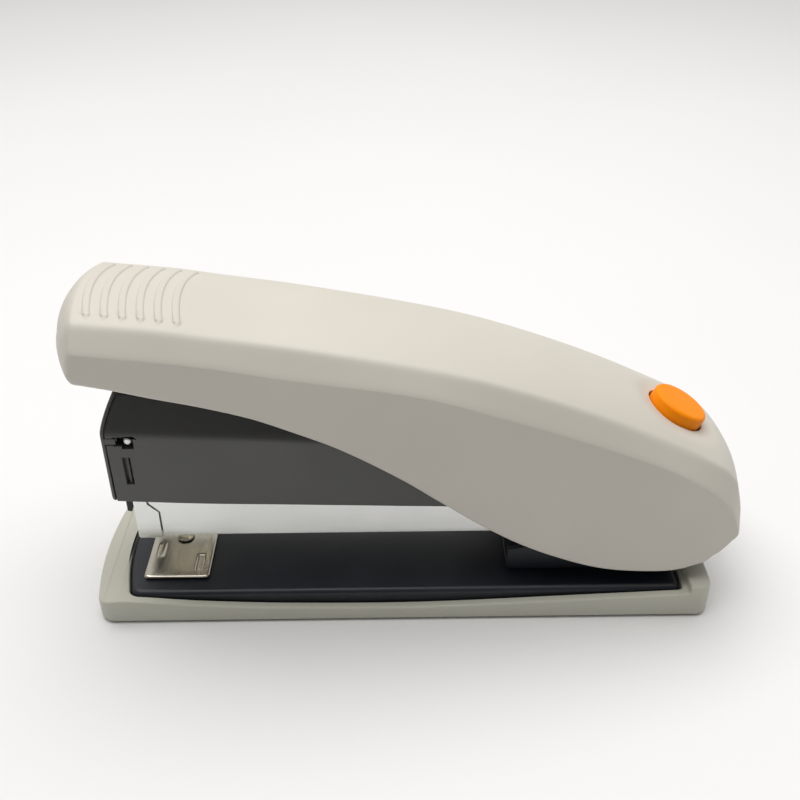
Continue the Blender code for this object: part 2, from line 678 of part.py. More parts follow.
def drive_pin():
    reach = LEVER_PIN_REACH
    pin = rod((DRIVE_PIN_X, -reach, DRIVE_PIN_Z), (DRIVE_PIN_X, reach, DRIVE_PIN_Z), LEVER_PIN_RADIUS, 16)
    part("drive_pin", pin, "spring_steel", (DRIVE_PIN_X, 0, DRIVE_PIN_Z), smooth=True)


def slot(first, last, half_width):
    """Outline of a slot with round ends between two (x, z) points."""
    run = Vector(last) - Vector(first)
    angle = Vector((1.0, 0.0)).angle_signed(run)
    heading = -angle * 180.0 / pi
    return arc(first, half_width, heading + 90, heading + 270, 8) + arc(
        last, half_width, heading - 90, heading + 90, 8
    )


CAM_SLOT_END = (-32.75, 49.2)
CAM_SLOT_HALF_WIDTH = 1.9


def drive_lever():
    outline = [(13.5, 36.0), (13.5, 40.5), (11.5, 42.0), (-22.0, 46.0), (-26.6, 49.5), (-26.6, 58.2)]
    outline += [(-28.0, 59.6), (-31.5, 59.6), (-33.4, 58.2), (-36.8, 48.6), (-50.0, 49.2), (-58.6, 49.2)]
    outline += [(-58.6, 43.0), (-45.0, 40.9), (-20.0, 38.1), (8.0, 36.0)]
    lever = part("drive_lever", across(outline, -4.6, 4.6), "spring_steel", (LEVER_X, 0, LEVER_Z))
    web = [(20.0, 37.1), (8.0, 37.1), (-20.0, 39.2), (-45.0, 42.0), (-70.0, 46.0), (-70.0, 70.0), (20.0, 70.0)]
    cut(lever, across(web, -3.4, 3.4))
    cut(lever, rod((LEVER_X, -10, LEVER_Z), (LEVER_X, 10, LEVER_Z), LEVER_BORE, 16))
    cut(lever, across([(-70.0, 44.4), (-54.4, 44.4), (-54.4, 47.6), (-70.0, 47.6)], -10.0, 10.0))
    cut(lever, across(slot((CAM_X, CAM_Z), CAM_SLOT_END, CAM_SLOT_HALF_WIDTH), -10.0, 10.0))


# ---------------------------------------------------------------- handle

# Upper edge of the side bevel and lower edge of the side bevel, front to rear
COVER_CREASE = [
    (-66.0, 75.6), (-49.4, 73.85), (-39.8, 72.3), (-22.1, 69.5), (3.9, 64.4), (20.3, 60.1),
    (41.6, 52.3), (59.6, 44.0), (69.6, 38.6), (72.2, 36.3), (74.6, 32.5), (75.8, 28.0),
]
COVER_SIDE_TOP = [
    (-66.0, 70.9), (-39.8, 67.6), (-22.2, 64.3), (3.8, 59.9), (20.2, 54.8), (41.5, 47.2),
    (58.6, 39.9), (68.1, 33.9), (72.5, 29.3), (74.5, 23.7),
]
COVER_BOTTOM = [
    (-66.0, 63.6), (-58.5, 62.0), (-50.7, 60.0), (-40.9, 57.7), (-31.0, 54.8), (-23.1, 51.5),
    (-12.9, 46.7), (-0.4, 38.9), (8.2, 32.5), (17.2, 25.9), (26.3, 20.2), (35.6, 15.9),
    (45.0, 12.8), (54.3, 11.7), (62.6, 12.0), (68.7, 14.3),
]

# Rear, top to bottom: (distance ahead of the rearmost line, share of the height there)
REAR_TURN = ((0.0, 0.60), (1.1, 0.43), (2.8, 0.25), (4.7, 0.12))
REAR_TOP_END, REAR_FOOT = 2.0, 6.3
# Lower corner of the front: (distance behind the front, height above the lower edge)
FRONT_FOOT = ((1.0, 0.35), (0.25, 1.2), (0.0, 2.2))
FRONT_FOOT_END = 2.6
# Brow, bottom to top: (share of the brow's depth, share of the height of the front)
FRONT_BROW = ((0.0, 0.34), (0.06, 0.43), (0.17, 0.60), (0.34, 0.75), (0.58, 0.88), (0.80, 0.96))


# The hollow of the cover runs this far past its lower edge
BELOW_EDGE = 6.0


def cover_top(x, reach):
    """Height of the handle cover's upper face at x, at a distance reach from its middle.

    Between the two creases it follows the bevel; inside them it follows the crown.
    """
    crease = COVER_CREASE_HALF_WIDTH
    if reach > crease:
        share = (reach - crease) / (COVER_HALF_WIDTH - crease)
        return between(COVER_CREASE, x) * (1 - share) + between(COVER_SIDE_TOP, x) * share
    inward = 1.0 - (reach / crease) ** 2
    into_rear = min(max((x - 40.0) / 30.0, 0.0), 1.0)
    taper = min(1.0, (COVER_REAR - REAR_TOP_END - x) / 20.0 + 0.35)
    return between(COVER_CREASE, x - REAR_BULGE * inward * into_rear) + COVER_CROWN * taper * inward


def cover_outline(y, inset, lower):
    """Side outline of the handle cover at a distance y from its middle.

    It is set in by inset, and its lower edge is moved down by lower.
    """
    reach = abs(y) * COVER_HALF_WIDTH / (COVER_HALF_WIDTH - inset)
    share = reach / COVER_HALF_WIDTH
    front = COVER_FRONT + FRONT_BOW * share**2 + inset
    rear = COVER_REAR - REAR_BOW * share**2 - inset
    into_bevel = max(reach - COVER_CREASE_HALF_WIDTH, 0.0) / (COVER_HALF_WIDTH - COVER_CREASE_HALF_WIDTH)
    brow = BROW + (SIDE_BROW - BROW) * into_bevel
    top_start, top_end = front + brow, rear - REAR_TOP_END
    points = []
    for s in shares(18):
        x = top_start + (top_end - top_start) * s
        points.append((x, cover_top(x, reach) - inset))
    brow_height, end_height = points[0][1], points[-1][1]
    bottom_end, bottom_start = rear - REAR_FOOT, front + FRONT_FOOT_END
    foot = between(COVER_BOTTOM, bottom_end) - lower
    points += [(rear - ahead, foot + (end_height - foot) * s) for ahead, s in REAR_TURN]
    for s in shares(16):
        x = bottom_end + (bottom_start - bottom_end) * s
        points.append((x, between(COVER_BOTTOM, x) - lower))
    foot = points[-1][1]
    points += [(front + behind, foot + height) for behind, height in FRONT_FOOT]
    points += [(front + depth * brow, foot + (brow_height - foot) * s) for depth, s in FRONT_BROW]
    return points


def cover_body(inset, lower):
    """Body of the handle cover, lofted across its width."""
    crease = COVER_CREASE_HALF_WIDTH / COVER_HALF_WIDTH
    stations = (1.0, crease, 0.62, 0.3, 0.0, -0.3, -0.62, -crease, -1.0)
    half = COVER_HALF_WIDTH - inset
    return loft([
        [(x, s * half, z) for x, z in cover_outline(s * half, inset, lower)] for s in stations
    ])


def handle_cover():
    cover = part("handle_cover", cover_body(0.0, 0.0), "warm_grey", (HINGE_X, 0, HINGE_Z))
    cut(cover, cover_body(COVER_WALL, BELOW_EDGE))
    hole = [(0.0, BUTTON_HOLE_RADIUS), (30.0, BUTTON_HOLE_RADIUS)]
    cut(cover, turned(along_button(12.0), BUTTON_AXIS, hole, 32))


def handle_frame():
    """Pressed steel frame: a web under the cover that turns into two legs at the rear."""
    stations = (
        (-42.0, 7.6, 1.8, 2.2), (-20.0, 7.6, 1.8, 2.2), (-4.0, 7.6, 1.8, 2.2), (8.0, 7.6, 1.9, 2.2),
        (17.0, 8.6, 2.4, 2.4), (26.8, 13.4, 4.4, 3.0),
    )
    rings = []

    def ring(x, half, drop, leg_low):
        top = between(COVER_CREASE, x) - drop
        web = top - 1.2
        return [
            (x, -half, leg_low), (x, -half + LEG_SHEET, leg_low), (x, -half + LEG_SHEET, web),
            (x, half - LEG_SHEET, web), (x, half - LEG_SHEET, leg_low), (x, half, leg_low),
            (x, half, top), (x, -half, top),
        ]

    for x, half, drop, flange in stations:
        rings.append(ring(x, half, drop, between(COVER_CREASE, x) - drop - flange))
    for x, low in ((27.6, 24.0), (35.0, 19.5), (45.0, 16.2), (56.0, 14.6), (64.0, 16.0), (67.0, 19.0)):
        rings.append(ring(x, LEG_HALF_WIDTH, 4.6 + (x - 27.0) * 0.03, low))
    frame = part("handle_frame", loft(rings), "zinc", (HINGE_X, 0, HINGE_Z))
    cut(frame, block(40.0, 80.0, -12.35, 12.35, 34.0, 90.0))
    cut(frame, rod((HINGE_X, -20, HINGE_Z), (HINGE_X, 20, HINGE_Z), HINGE_BORE))


def drive_ears():
    top = between(COVER_CREASE, -25.5) - 1.8 - 1.2 - GAP - 0.1
    for name, side in (("drive_ear_left", -1), ("drive_ear_right", 1)):
        low, high = sorted((side * 5.1, side * 6.3))
        ear = part(name, block(-34.0, -25.5, low, high, CAM_Z - 3.0, top), "spring_steel", (HINGE_X, 0, HINGE_Z))
        cut(ear, rod((CAM_X, -12, CAM_Z), (CAM_X, 12, CAM_Z), CAM_BORE, 16))


def cam_pin():
    reach = CAM_PIN_REACH
    pin = rod((CAM_X, -reach, CAM_Z), (CAM_X, reach, CAM_Z), CAM_PIN_RADIUS, 16)
    part("cam_pin", pin, "spring_steel", (HINGE_X, 0, HINGE_Z), smooth=True)


# ---------------------------------------------------------------- release button and latch

def along_button(distance):
    """Point on the button's axis, distance below its top."""
    return BUTTON_TOP - BUTTON_AXIS * distance


def release_button():
    radius = BUTTON_RADIUS
    profile = [
        (0.0, radius - 0.9), (0.3, radius - 0.3), (0.9, radius), (FLANGE_TOP, radius),
        (FLANGE_TOP, FLANGE_RADIUS), (FLANGE_BOTTOM, FLANGE_RADIUS), (FLANGE_BOTTOM, STEM_RADIUS),
        (STEM_END, STEM_RADIUS),
    ]
    button = turned(BUTTON_TOP, -BUTTON_AXIS, profile, 32)
    part("release_button", button, "orange", BUTTON_TOP, smooth=True)


def button_guide():
    """Strip across the handle that the button's stem slides through."""
    half_length, half_width, thickness = 12.0, 4.0, 1.0
    strip = block(-half_width, half_width, -half_length, half_length, 0.0, thickness)
    tilt = Matrix.Rotation(BUTTON_LEAN, 4, "Y")
    bmesh.ops.transform(strip, verts=strip.verts, matrix=Matrix.Translation(along_button(GUIDE_DEPTH)) @ tilt)
    guide = part("button_guide", strip, "spring_steel", along_button(GUIDE_DEPTH))
    hole = [(0.0, STEM_RADIUS + 0.4), (8.0, STEM_RADIUS + 0.4)]
    cut(guide, turned(along_button(GUIDE_DEPTH + 3.0), BUTTON_AXIS, hole, 16))


def button_spring():
    seat = along_button(GUIDE_DEPTH - 1.0 - GAP)
    spring = coil(seat, BUTTON_AXIS, GUIDE_DEPTH - 1.0 - 2 * GAP - FLANGE_BOTTOM, 3.2, 0.3, 3)
    part("button_spring", spring, "spring_steel", seat, smooth=True)


def latch_lever():
    sideways = Vector((cos(BUTTON_LEAN), 0.0, -sin(BUTTON_LEAN)))
    pad = along_button(LATCH_PAD_DEPTH)

    def spot(base, along, down):
        point = base + sideways * along - BUTTON_AXIS * down
        return (point.x, point.z)

    outline = [spot(pad, 3.0, 0.0), spot(pad, 3.0, 1.6), spot(pad, -5.5, 1.6)]
    outline += [(46.0, 37.5), (43.0, 28.0), (40.6, 25.5), (40.6, 21.6), (39.2, 21.6), (39.2, 27.5)]
    outline += [(41.2, 30.0), (44.6, 41.0)]
    outline += arc((LATCH_X, LATCH_Z), LATCH_BOSS_RADIUS, 170, 20, 6)
    outline += [spot(pad, -6.6, 0.0)]
    latch = part("latch_lever", across(outline, -2.5, 2.5), "spring_steel", (LATCH_X, 0, LATCH_Z))
    cut(latch, rod((LATCH_X, -10, LATCH_Z), (LATCH_X, 10, LATCH_Z), LATCH_BORE, 16))


# ---------------------------------------------------------------- assembly

MAKERS = (
    base_tray, base_plate, feet, rear_bracket, bracket_rivets, base_screws, hinge_pin, return_spring,
    anvil_plate, anvil_pin, anvil_spring,
    magazine_channel, magazine_nose, drawer_pull, staple_rail, staple_strip, drawer_hook,
    pusher, pusher_rod, rod_posts, pusher_spring,
    head_frame, head_housing, nose_cap, cap_pins, lever_bracket, lever_pin, spring_seat, latch_pin,
    handle_spring, driver_blade, drive_pin, drive_lever,
    handle_cover, handle_frame, drive_ears, cam_pin,
    release_button, button_guide, button_spring, latch_lever,
)


def main():
    for obj in list(bpy.data.objects):
        bpy.data.objects.remove(obj, do_unlink=True)
    for make in MAKERS:
        make()


main()
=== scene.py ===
from math import cos, pi, radians, sin

import bmesh
import bpy
from mathutils import Matrix, Vector


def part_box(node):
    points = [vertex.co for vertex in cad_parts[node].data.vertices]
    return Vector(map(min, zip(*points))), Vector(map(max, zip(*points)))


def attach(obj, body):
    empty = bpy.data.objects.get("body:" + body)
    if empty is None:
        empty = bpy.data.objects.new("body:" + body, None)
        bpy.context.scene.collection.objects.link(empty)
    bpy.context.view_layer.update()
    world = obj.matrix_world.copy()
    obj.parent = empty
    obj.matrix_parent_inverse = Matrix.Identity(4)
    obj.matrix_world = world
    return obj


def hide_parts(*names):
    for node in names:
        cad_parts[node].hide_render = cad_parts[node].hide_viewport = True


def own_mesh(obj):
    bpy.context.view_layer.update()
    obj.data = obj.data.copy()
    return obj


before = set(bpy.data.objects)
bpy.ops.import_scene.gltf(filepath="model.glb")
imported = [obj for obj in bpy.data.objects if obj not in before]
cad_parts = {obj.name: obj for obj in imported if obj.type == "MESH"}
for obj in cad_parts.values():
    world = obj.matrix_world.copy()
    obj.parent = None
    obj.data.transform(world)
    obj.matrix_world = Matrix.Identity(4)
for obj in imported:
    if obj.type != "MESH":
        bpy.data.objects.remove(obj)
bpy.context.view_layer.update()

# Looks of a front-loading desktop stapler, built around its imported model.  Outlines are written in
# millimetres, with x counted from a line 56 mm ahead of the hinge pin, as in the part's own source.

MM = 0.001
GAP = 0.3

# Points closer than this are merged before edges are rounded, and flatter angles are dissolved
MERGE_DISTANCE = 0.002
FLAT_ANGLE = radians(0.03)

HINGE_X = 56.0
pin_low, pin_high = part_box("hinge_pin")
LINE = Vector(((pin_low.x + pin_high.x) / 2 - HINGE_X * MM, 0.0, 0.0))

# Handle cover
COVER_HALF_WIDTH = 18.3
COVER_CREASE_HALF_WIDTH = 14.5
COVER_CROWN = 2.2
COVER_WALL = 2.0
COVER_EDGE = 0.9
COVER_INSIDE_DROP = 6.0
CREASE_SOFTNESS = 0.8
SIDE_BORDER = 0.25
SIDE_STRIP = 5.0
BOTTOM_SAMPLES = 60
BUTTON_STATIONS_X, COARSE_STEP, FINE_STEP = 48.0, 2.0, 0.8
TURN_STEPS = 6
# Share of the side rounding kept along the top, and the points over which it comes back
TOP_SHARE, EASE_POINTS = 0.25, 14
COVER_CREASE = [
    (-66.0, 75.6), (-49.4, 73.85), (-39.8, 72.3), (-22.1, 69.5), (3.9, 64.4), (20.3, 60.1),
    (41.6, 52.3), (59.6, 44.0), (69.6, 38.6), (72.2, 36.3), (74.6, 32.5), (75.8, 28.0),
]
COVER_SIDE_TOP = [
    (-66.0, 70.9), (-39.8, 67.6), (-22.2, 64.3), (3.8, 59.9), (20.2, 54.8), (41.5, 47.2),
    (58.6, 39.9), (68.1, 33.9), (72.5, 29.3), (74.5, 23.7),
]
COVER_BOTTOM = [
    (-66.0, 63.6), (-58.5, 62.0), (-50.7, 60.0), (-40.9, 57.7), (-31.0, 54.8), (-23.1, 51.5),
    (-12.9, 46.7), (-0.4, 38.9), (8.2, 32.5), (17.2, 25.9), (26.3, 20.2), (35.6, 15.9),
    (45.0, 12.8), (54.3, 11.7), (62.6, 12.0), (68.7, 14.3),
]
COVER_FRONT, FRONT_BOW = -71.85, 5.4
COVER_REAR, REAR_BOW, REAR_BULGE = 77.2, 2.2, 1.4
# The rear shape starts here; the bulge grows and the crown falls over these lengths
REAR_START, BULGE_LENGTH = 40.0, 30.0
CROWN_FADE, CROWN_LEFT = 20.0, 0.35
BROW, CREASE_BROW, SIDE_BROW, BROW_END = 6.0, 3.6, 1.5, -64.75
# Rear, top to bottom: (distance ahead of the rearmost line, share of the height there)
REAR_TURN = ((0.0, 0.60), (1.1, 0.43), (2.8, 0.25), (4.7, 0.12))
REAR_TOP_END, REAR_FOOT = 2.0, 6.3
# Lower corner of the front: (distance behind the front, height above the lower edge)
FRONT_FOOT = ((1.0, 0.35), (0.25, 1.2), (0.0, 2.2))
FRONT_FOOT_END = 2.6
# Brow, bottom to top: (share of the brow's depth, share of the height of the front)
FRONT_BROW = ((0.0, 0.34), (0.06, 0.43), (0.17, 0.60), (0.34, 0.75), (0.58, 0.88), (0.80, 0.96))

# Grip ribs on the front of the handle
RIB_FIRST_X, RIB_STEP, RIB_COUNT = -63.8, 3.55, 6
RIB_HALF_LENGTH, RIB_HALF_WIDTH, RIB_HEIGHT = 12.3, 0.9, 0.36
RIB_BOW = 1.6 / RIB_HALF_LENGTH**2
RIB_BOW_FADE = (-40.0, -10.0)
RIB_FLANK = 0.35

# Release button
BUTTON_TOP = Vector((63.4, 0.0, 46.6))
BUTTON_LEAN = radians(27.0)
BUTTON_AXIS = Vector((sin(BUTTON_LEAN), 0.0, cos(BUTTON_LEAN)))
BUTTON_RADIUS = 6.5
BUTTON_EDGE = 0.9
BUTTON_HOLE = BUTTON_RADIUS + 0.5
HOLE_RIM = 0.12
FLANGE_RADIUS = BUTTON_RADIUS + 0.8
FLANGE_TOP, FLANGE_BOTTOM = 6.0, 6.8
STEM_RADIUS, STEM_END = 2.0, 13.0
GUIDE_DEPTH, GUIDE_SHEET = 12.2, 1.0
SCOOP_REACH, SCOOP_DEPTH, SCOOP_BEHIND = 4.8, 1.3, 0.75

# Head
HOUSING_HALF_WIDTH = 13.0
HOUSING_TOP_HALF_WIDTH = 10.0
HOUSING_WALL = 1.8
HOUSING_SLOT_FRONT, HOUSING_SLOT_HALF_WIDTH = -50.0, 8.0
HEAD_FRONT = -64.3
SEAM_X = -63.2
HOUSING_REAR = 20.0
HOUSING_BOTTOM = [(-63.4, 29.9), (-45.0, 28.9), (-25.0, 28.3), (4.0, 27.4), (20.0, 27.0)]
HOUSING_CREASE = [(-63.4, 47.8), (-43.0, 46.7), (-24.0, 45.9), (0.0, 44.4), (20.0, 42.6)]
HOUSING_TOP = [(-63.4, 57.2), (-45.0, 55.6), (-25.0, 53.2), (0.0, 49.8), (20.0, 46.4)]
HEAD_CREASE_Z, HEAD_TOP_Z = 47.8, 56.9
HEAD_LEAN = 3.6
LEAN_HEIGHTS = [HEAD_CREASE_Z + 0.9 * step for step in range(12)]
# Cuts in each side of the head: (distance from the middle, first x, last x, lowest z, highest z)
WINDOW = (10.0, -61.6, -57.4, 45.05, 47.15)
WINDOW_STEP = (10.0, -59.9, -57.4, 44.3, 46.0)
BLIND_SLOT = (HOUSING_HALF_WIDTH - 0.6, -60.3, -58.6, 34.8, 41.9)
SLOT_FRONT_GROOVE = (HOUSING_HALF_WIDTH - 1.4, -60.3, -59.75, 34.8, 41.9)
SLOT_REAR_GROOVE = (HOUSING_HALF_WIDTH - 1.4, -59.15, -58.6, 34.8, 41.9)
TONGUE_BED = (12.2, -66.0, -61.0, 45.25, 46.95)
SIDE_CUTS = (WINDOW, WINDOW_STEP, BLIND_SLOT, SLOT_FRONT_GROOVE, SLOT_REAR_GROOVE, TONGUE_BED)
# Front cap; its edge is listed as (distance behind the front, inset of the outline)
CAP_THICKNESS, CAP_BOTTOM = 0.8, 29.8
CAP_EDGE = ((CAP_THICKNESS, 0.0), (0.55, 0.0), (0.28, 0.1), (0.1, 0.32), (0.0, 0.7))
CAP_NOTCH_HALF_WIDTH, CAP_NOTCH_TOP = 9.6, 31.0
TONGUE_END, TONGUE_INSIDE, TONGUE_OUTSIDE = -61.15, 12.3, 12.96
TONGUE_LOW, TONGUE_HIGH = 45.4, 46.8

# Base
BASE_FRONT, BASE_REAR = -72.3, 71.0
BASE_BOW, BASE_CORNER, BASE_REAR_CORNER = 1.8, 4.0, 3.0
BASE_HALF_WIDTH = 20.65
TRAY_RIM = [(-72.3, 5.3), (-65.7, 6.9), (-46.5, 5.3), (-26.0, 4.3), (4.0, 4.1), (40.7, 5.7), (65.5, 6.9)]
REAR_BLOCK_X, REAR_BLOCK_TOP = 66.0, 8.95
TRAY_BOTTOM, TRAY_FLOOR = 0.6, 2.4
FOOT_X, FOOT_Y = (-60.0, 61.0), (-13.5, 13.5)
FOOT_POCKET = 4.8
SCREW_X, SCREW_HOLE = (-30.0, 14.0), 1.6
PLATE_HALF_WIDTH, PLATE_FRONT, PLATE_REAR, PLATE_TOP = 18.3, -65.1, 64.4, 7.3
PLATE_BOW, PLATE_SHOULDER = 2.1, 1.4
SHEET = 1.0
RIVET_X, RIVET_Y, RIVET_HOLE = (31.0, 59.0), (-7.0, 7.0), 1.5

# Anvil; its edge is listed as (height above its underside, inset of the outline)
ANVIL_X = -52.75
ANVIL_HALF_LENGTH, ANVIL_HALF_WIDTH, ANVIL_THICKNESS = 7.6, 14.1, 0.8
ANVIL_EDGE = ((0.0, 0.35), (0.2, 0.08), (0.42, 0.0), (0.6, 0.1), (0.74, 0.25), (ANVIL_THICKNESS, 0.5))
ANVIL_CORNER, ANVIL_HOLE, ANVIL_WELL = 1.2, 1.8, 4.2
# Pockets: (place ahead of or behind the pin, near end, far end, rounding of the corners)
POCKETS = ((-4.9, 1.5, 7.3, 1.1), (4.9, 5.9, 12.0, 0.5))
POCKET_HALF_WIDTH = 1.2
# Pocket walls, bottom to top: (height above the face, inset of the outline)
POCKET_WALL = ((-0.6, 0.7), (-0.5, 0.4), (-0.3, 0.15), (-0.1, 0.03), (2.0, 0.0))

# Springs and staples
FRAME_WEB_TOP, BRACKET_FLOOR = 34.0, 8.8
COIL_STEPS, COIL_SIDES = 28, 10
CHANNEL_FLOOR = 16.7
STAPLE_FRONT, STAPLE_REAR, STAPLE_PITCH, STAPLE_GAP = -59.0, -33.0, 0.52, 0.03
STAPLE_HALF_WIDTH, STAPLE_WIRE, STAPLE_TOP = 6.45, 0.5, 23.2


# ---------------------------------------------------------------- mesh helpers

def shares(count):
    """Evenly spread numbers from 0 to 1."""
    return [i / count for i in range(count + 1)]


def smooth_step(low, high, value):
    """0 below low, 1 above high, eased in between."""
    share = min(max((value - low) / (high - low), 0.0), 1.0)
    return share * share * (3 - 2 * share)


def between(curve, x):
    """Height of a smooth curve through (x, z) points at x."""
    last = len(curve) - 2
    index = 0
    while index < last and x > curve[index + 1][0]:
        index += 1
    x0, z0 = curve[index]
    x1, z1 = curve[index + 1]
    before = curve[max(index - 1, 0)]
    after = curve[min(index + 2, len(curve) - 1)]
    slope0 = (z1 - before[1]) / (x1 - before[0])
    slope1 = (after[1] - z0) / (after[0] - x0)
    span = x1 - x0
    t = min(max((x - x0) / span, 0.0), 1.0)
    return (
        (2 * t**3 - 3 * t**2 + 1) * z0
        + (t**3 - 2 * t**2 + t) * span * slope0
        + (3 * t**2 - 2 * t**3) * z1
        + (t**3 - t**2) * span * slope1
    )


def bend_through(points, steps):
    """Points on a smooth open curve through 2-D points, steps to a stretch."""
    points = [Vector(p) for p in points]
    curve = []
    for i in range(len(points) - 1):
        p1, p2 = points[i], points[i + 1]
        p0 = points[i - 1] if i else p1 * 2 - p2
        p3 = points[i + 2] if i + 2 < len(points) else p2 * 2 - p1
        for step in range(steps):
            t = step / steps
            curve.append(
                0.5 * (2 * p1 + (p2 - p0) * t + (2 * p0 - 5 * p1 + 4 * p2 - p3) * t**2
                       + (3 * p1 - p0 - 3 * p2 + p3) * t**3)
            )
    curve.append(points[-1])
    return [tuple(p) for p in curve]


def fillet(corners, reaches, steps):
    """Closed outline through 2-D corners, each rounded over its reach."""
    outline = []
    for i, (corner, reach) in enumerate(zip(corners, reaches)):
        here = Vector(corner)
        first = here + (Vector(corners[i - 1]) - here).normalized() * reach
        last = here + (Vector(corners[(i + 1) % len(corners)]) - here).normalized() * reach
        for t in shares(steps):
            outline.append(tuple(first * (1 - t) ** 2 + here * 2 * t * (1 - t) + last * t * t))
    return outline


def arc(centre, radius, first, last, count):
    """Points along an arc, angles in degrees."""
    points = []
    for share in shares(count):
        angle = radians(first + (last - first) * share)
        points.append((centre[0] + radius * cos(angle), centre[1] + radius * sin(angle)))
    return points


def loft(rings):
    """Closed body through rings of the same number of points."""
    bm = bmesh.new()
    loops = [[bm.verts.new(point) for point in ring] for ring in rings]
    count = len(loops[0])
    for first, second in zip(loops, loops[1:]):
        for i in range(count):
            j = (i + 1) % count
            bm.faces.new((first[i], first[j], second[j], second[i]))
    bm.faces.new(loops[0])
    bm.faces.new(loops[-1])
    outward(bm)
    return bm


def outward(bm):
    """Turn all faces of a closed body outward."""
    bmesh.ops.recalc_face_normals(bm, faces=bm.faces)
    if bm.calc_volume(signed=True) < 0.0:
        bmesh.ops.reverse_faces(bm, faces=bm.faces)


def across(outline, y_low, y_high):
    """Body of an (x, z) outline that runs from y_low to y_high."""
    return loft([[(x, y, z) for x, z in outline] for y in (y_low, y_high)])


def upright(outline, z_low, z_high):
    """Body of an (x, y) outline that stands from z_low to z_high."""
    return loft([[(x, y, z) for x, y in outline] for z in (z_low, z_high)])


def lengthways(outline, x_low, x_high):
    """Body of a (y, z) outline that runs from x_low to x_high."""
    return loft([[(x, y, z) for y, z in outline] for x in (x_low, x_high)])


def block(x_low, x_high, y_low, y_high, z_low, z_high):
    """Rectangular block."""
    return upright([(x_low, y_low), (x_high, y_low), (x_high, y_high), (x_low, y_high)], z_low, z_high)


def turned(start, axis, profile, count=48):
    """Solid of revolution: profile lists (distance along the axis, radius)."""
    axis = Vector(axis).normalized()
    side = axis.orthogonal().normalized()
    other = axis.cross(side)
    rings = []
    for distance, radius in profile:
        centre = Vector(start) + axis * distance
        rings.append([
            centre + side * radius * cos(2 * pi * i / count) + other * radius * sin(2 * pi * i / count)
            for i in range(count)
        ])
    return loft(rings)


def drill(x, y, low, height, radius, count=48):
    """Upright round cutter that stands on a height low."""
    return turned((x, y, low), (0, 0, 1), [(0, radius), (height, radius)], count)


def rectangle(x, y, half_length, half_width):
    """Corners of a rectangle in plan round a middle."""
    return [(x - half_length, y - half_width), (x + half_length, y - half_width),
            (x + half_length, y + half_width), (x - half_length, y + half_width)]


def add_object(name, data):
    """New object in the scene."""
    obj = bpy.data.objects.new(name, data)
    bpy.context.scene.collection.objects.link(obj)
    return obj


def scratch(name, bm):
    """Short-lived object that a Boolean can read."""
    mesh = bpy.data.meshes.new(name)
    bm.to_mesh(mesh)
    bm.free()
    return add_object(name, mesh)


def carve(bm, cutters, operation="DIFFERENCE"):
    """Cut (or join) bodies with Booleans and give back the finished bmesh."""
    body = scratch("body", bm)
    tools = [scratch("tool", cutter) for cutter in cutters]
    for tool in tools:
        modifier = body.modifiers.new("cut", "BOOLEAN")
        modifier.operation = operation
        modifier.solver = "EXACT"
        modifier.object = tool
    mesh = bpy.data.meshes.new_from_object(body.evaluated_get(bpy.context.evaluated_depsgraph_get()))
    result = bmesh.new()
    result.from_mesh(mesh)
    bpy.data.meshes.remove(mesh)
    for obj in (body, *tools):
        old = obj.data
        bpy.data.objects.remove(obj)
        bpy.data.meshes.remove(old)
    return result


def sharp_edges(bm, sharper_than):
    """Edges between two faces that turn by more than an angle in degrees."""
    return [
        edge for edge in bm.edges
        if len(edge.link_faces) == 2 and edge.calc_face_angle() > radians(sharper_than)
    ]


def soften(bm, width, sharper_than, segments):
    """Round the edges that turn by more than an angle in degrees."""
    bmesh.ops.remove_doubles(bm, verts=bm.verts, dist=MERGE_DISTANCE)
    bmesh.ops.dissolve_limit(bm, angle_limit=FLAT_ANGLE, verts=bm.verts, edges=bm.edges)
    bmesh.ops.bevel(
        bm, geom=sharp_edges(bm, sharper_than), offset=width, segments=segments, profile=0.5,
        affect="EDGES", clamp_overlap=False, loop_slide=False
    )
    return bm


def piece(name, bm, body, finish, stands_for, smooth=35.0, in_frame=False):
    """Turn a bmesh in millimetres into a finished piece in the frame, riding on its body."""
    bmesh.ops.scale(bm, verts=bm.verts, vec=(MM, MM, MM))
    if not in_frame:
        bmesh.ops.translate(bm, verts=bm.verts, vec=LINE)
    mesh = bpy.data.meshes.new(name)
    bm.to_mesh(mesh)
    bm.free()
    mesh.shade_smooth()
    mesh.set_sharp_from_angle(angle=radians(smooth))
    mesh.materials.append(finish)
    obj = add_object(name, mesh)
    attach(obj, body)
    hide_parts(*stands_for)
    return obj


def keep_flat(obj):
    """Shade the large faces of a piece flat and only its rounded edges smooth."""
    obj.modifiers.new("even_shading", "WEIGHTED_NORMAL").keep_sharp = True


def refined(node, name, body, finish, width):
    """Copy of a CAD node with its edges rounded, in its place."""
    bm = bmesh.new()
    bm.from_mesh(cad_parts[node].data)
    bmesh.ops.scale(bm, verts=bm.verts, vec=(1 / MM, 1 / MM, 1 / MM))
    soften(bm, width, sharper_than=40.0, segments=2)
    keep_flat(piece(name, bm, body, finish, (node,), in_frame=True))


# ---------------------------------------------------------------- finishes

# Painted shade on the housing's upper flanks: the share of its brightness they keep, and how far a face has
# to lean up
PAINTED_SHADE_LEVEL = 0.36
PAINTED_SHADE_LEAN = (0.10, 0.24)
# Stretch of a noise pattern over which a finish goes from its first tone to its second
TONE_START, TONE_END = 0.35, 0.65


def finish_nodes(name):
    """New material; gives the material, its tree and its shader."""
    material = bpy.data.materials.new(name)
    material.use_nodes = True
    return material, material.node_tree, material.node_tree.nodes["Principled BSDF"]


def add_node(tree, kind, **values):
    """New node with its inputs set by name."""
    node = tree.nodes.new(kind)
    for key, value in values.items():
        node.inputs[key.replace("_", " ")].default_value = value
    return node


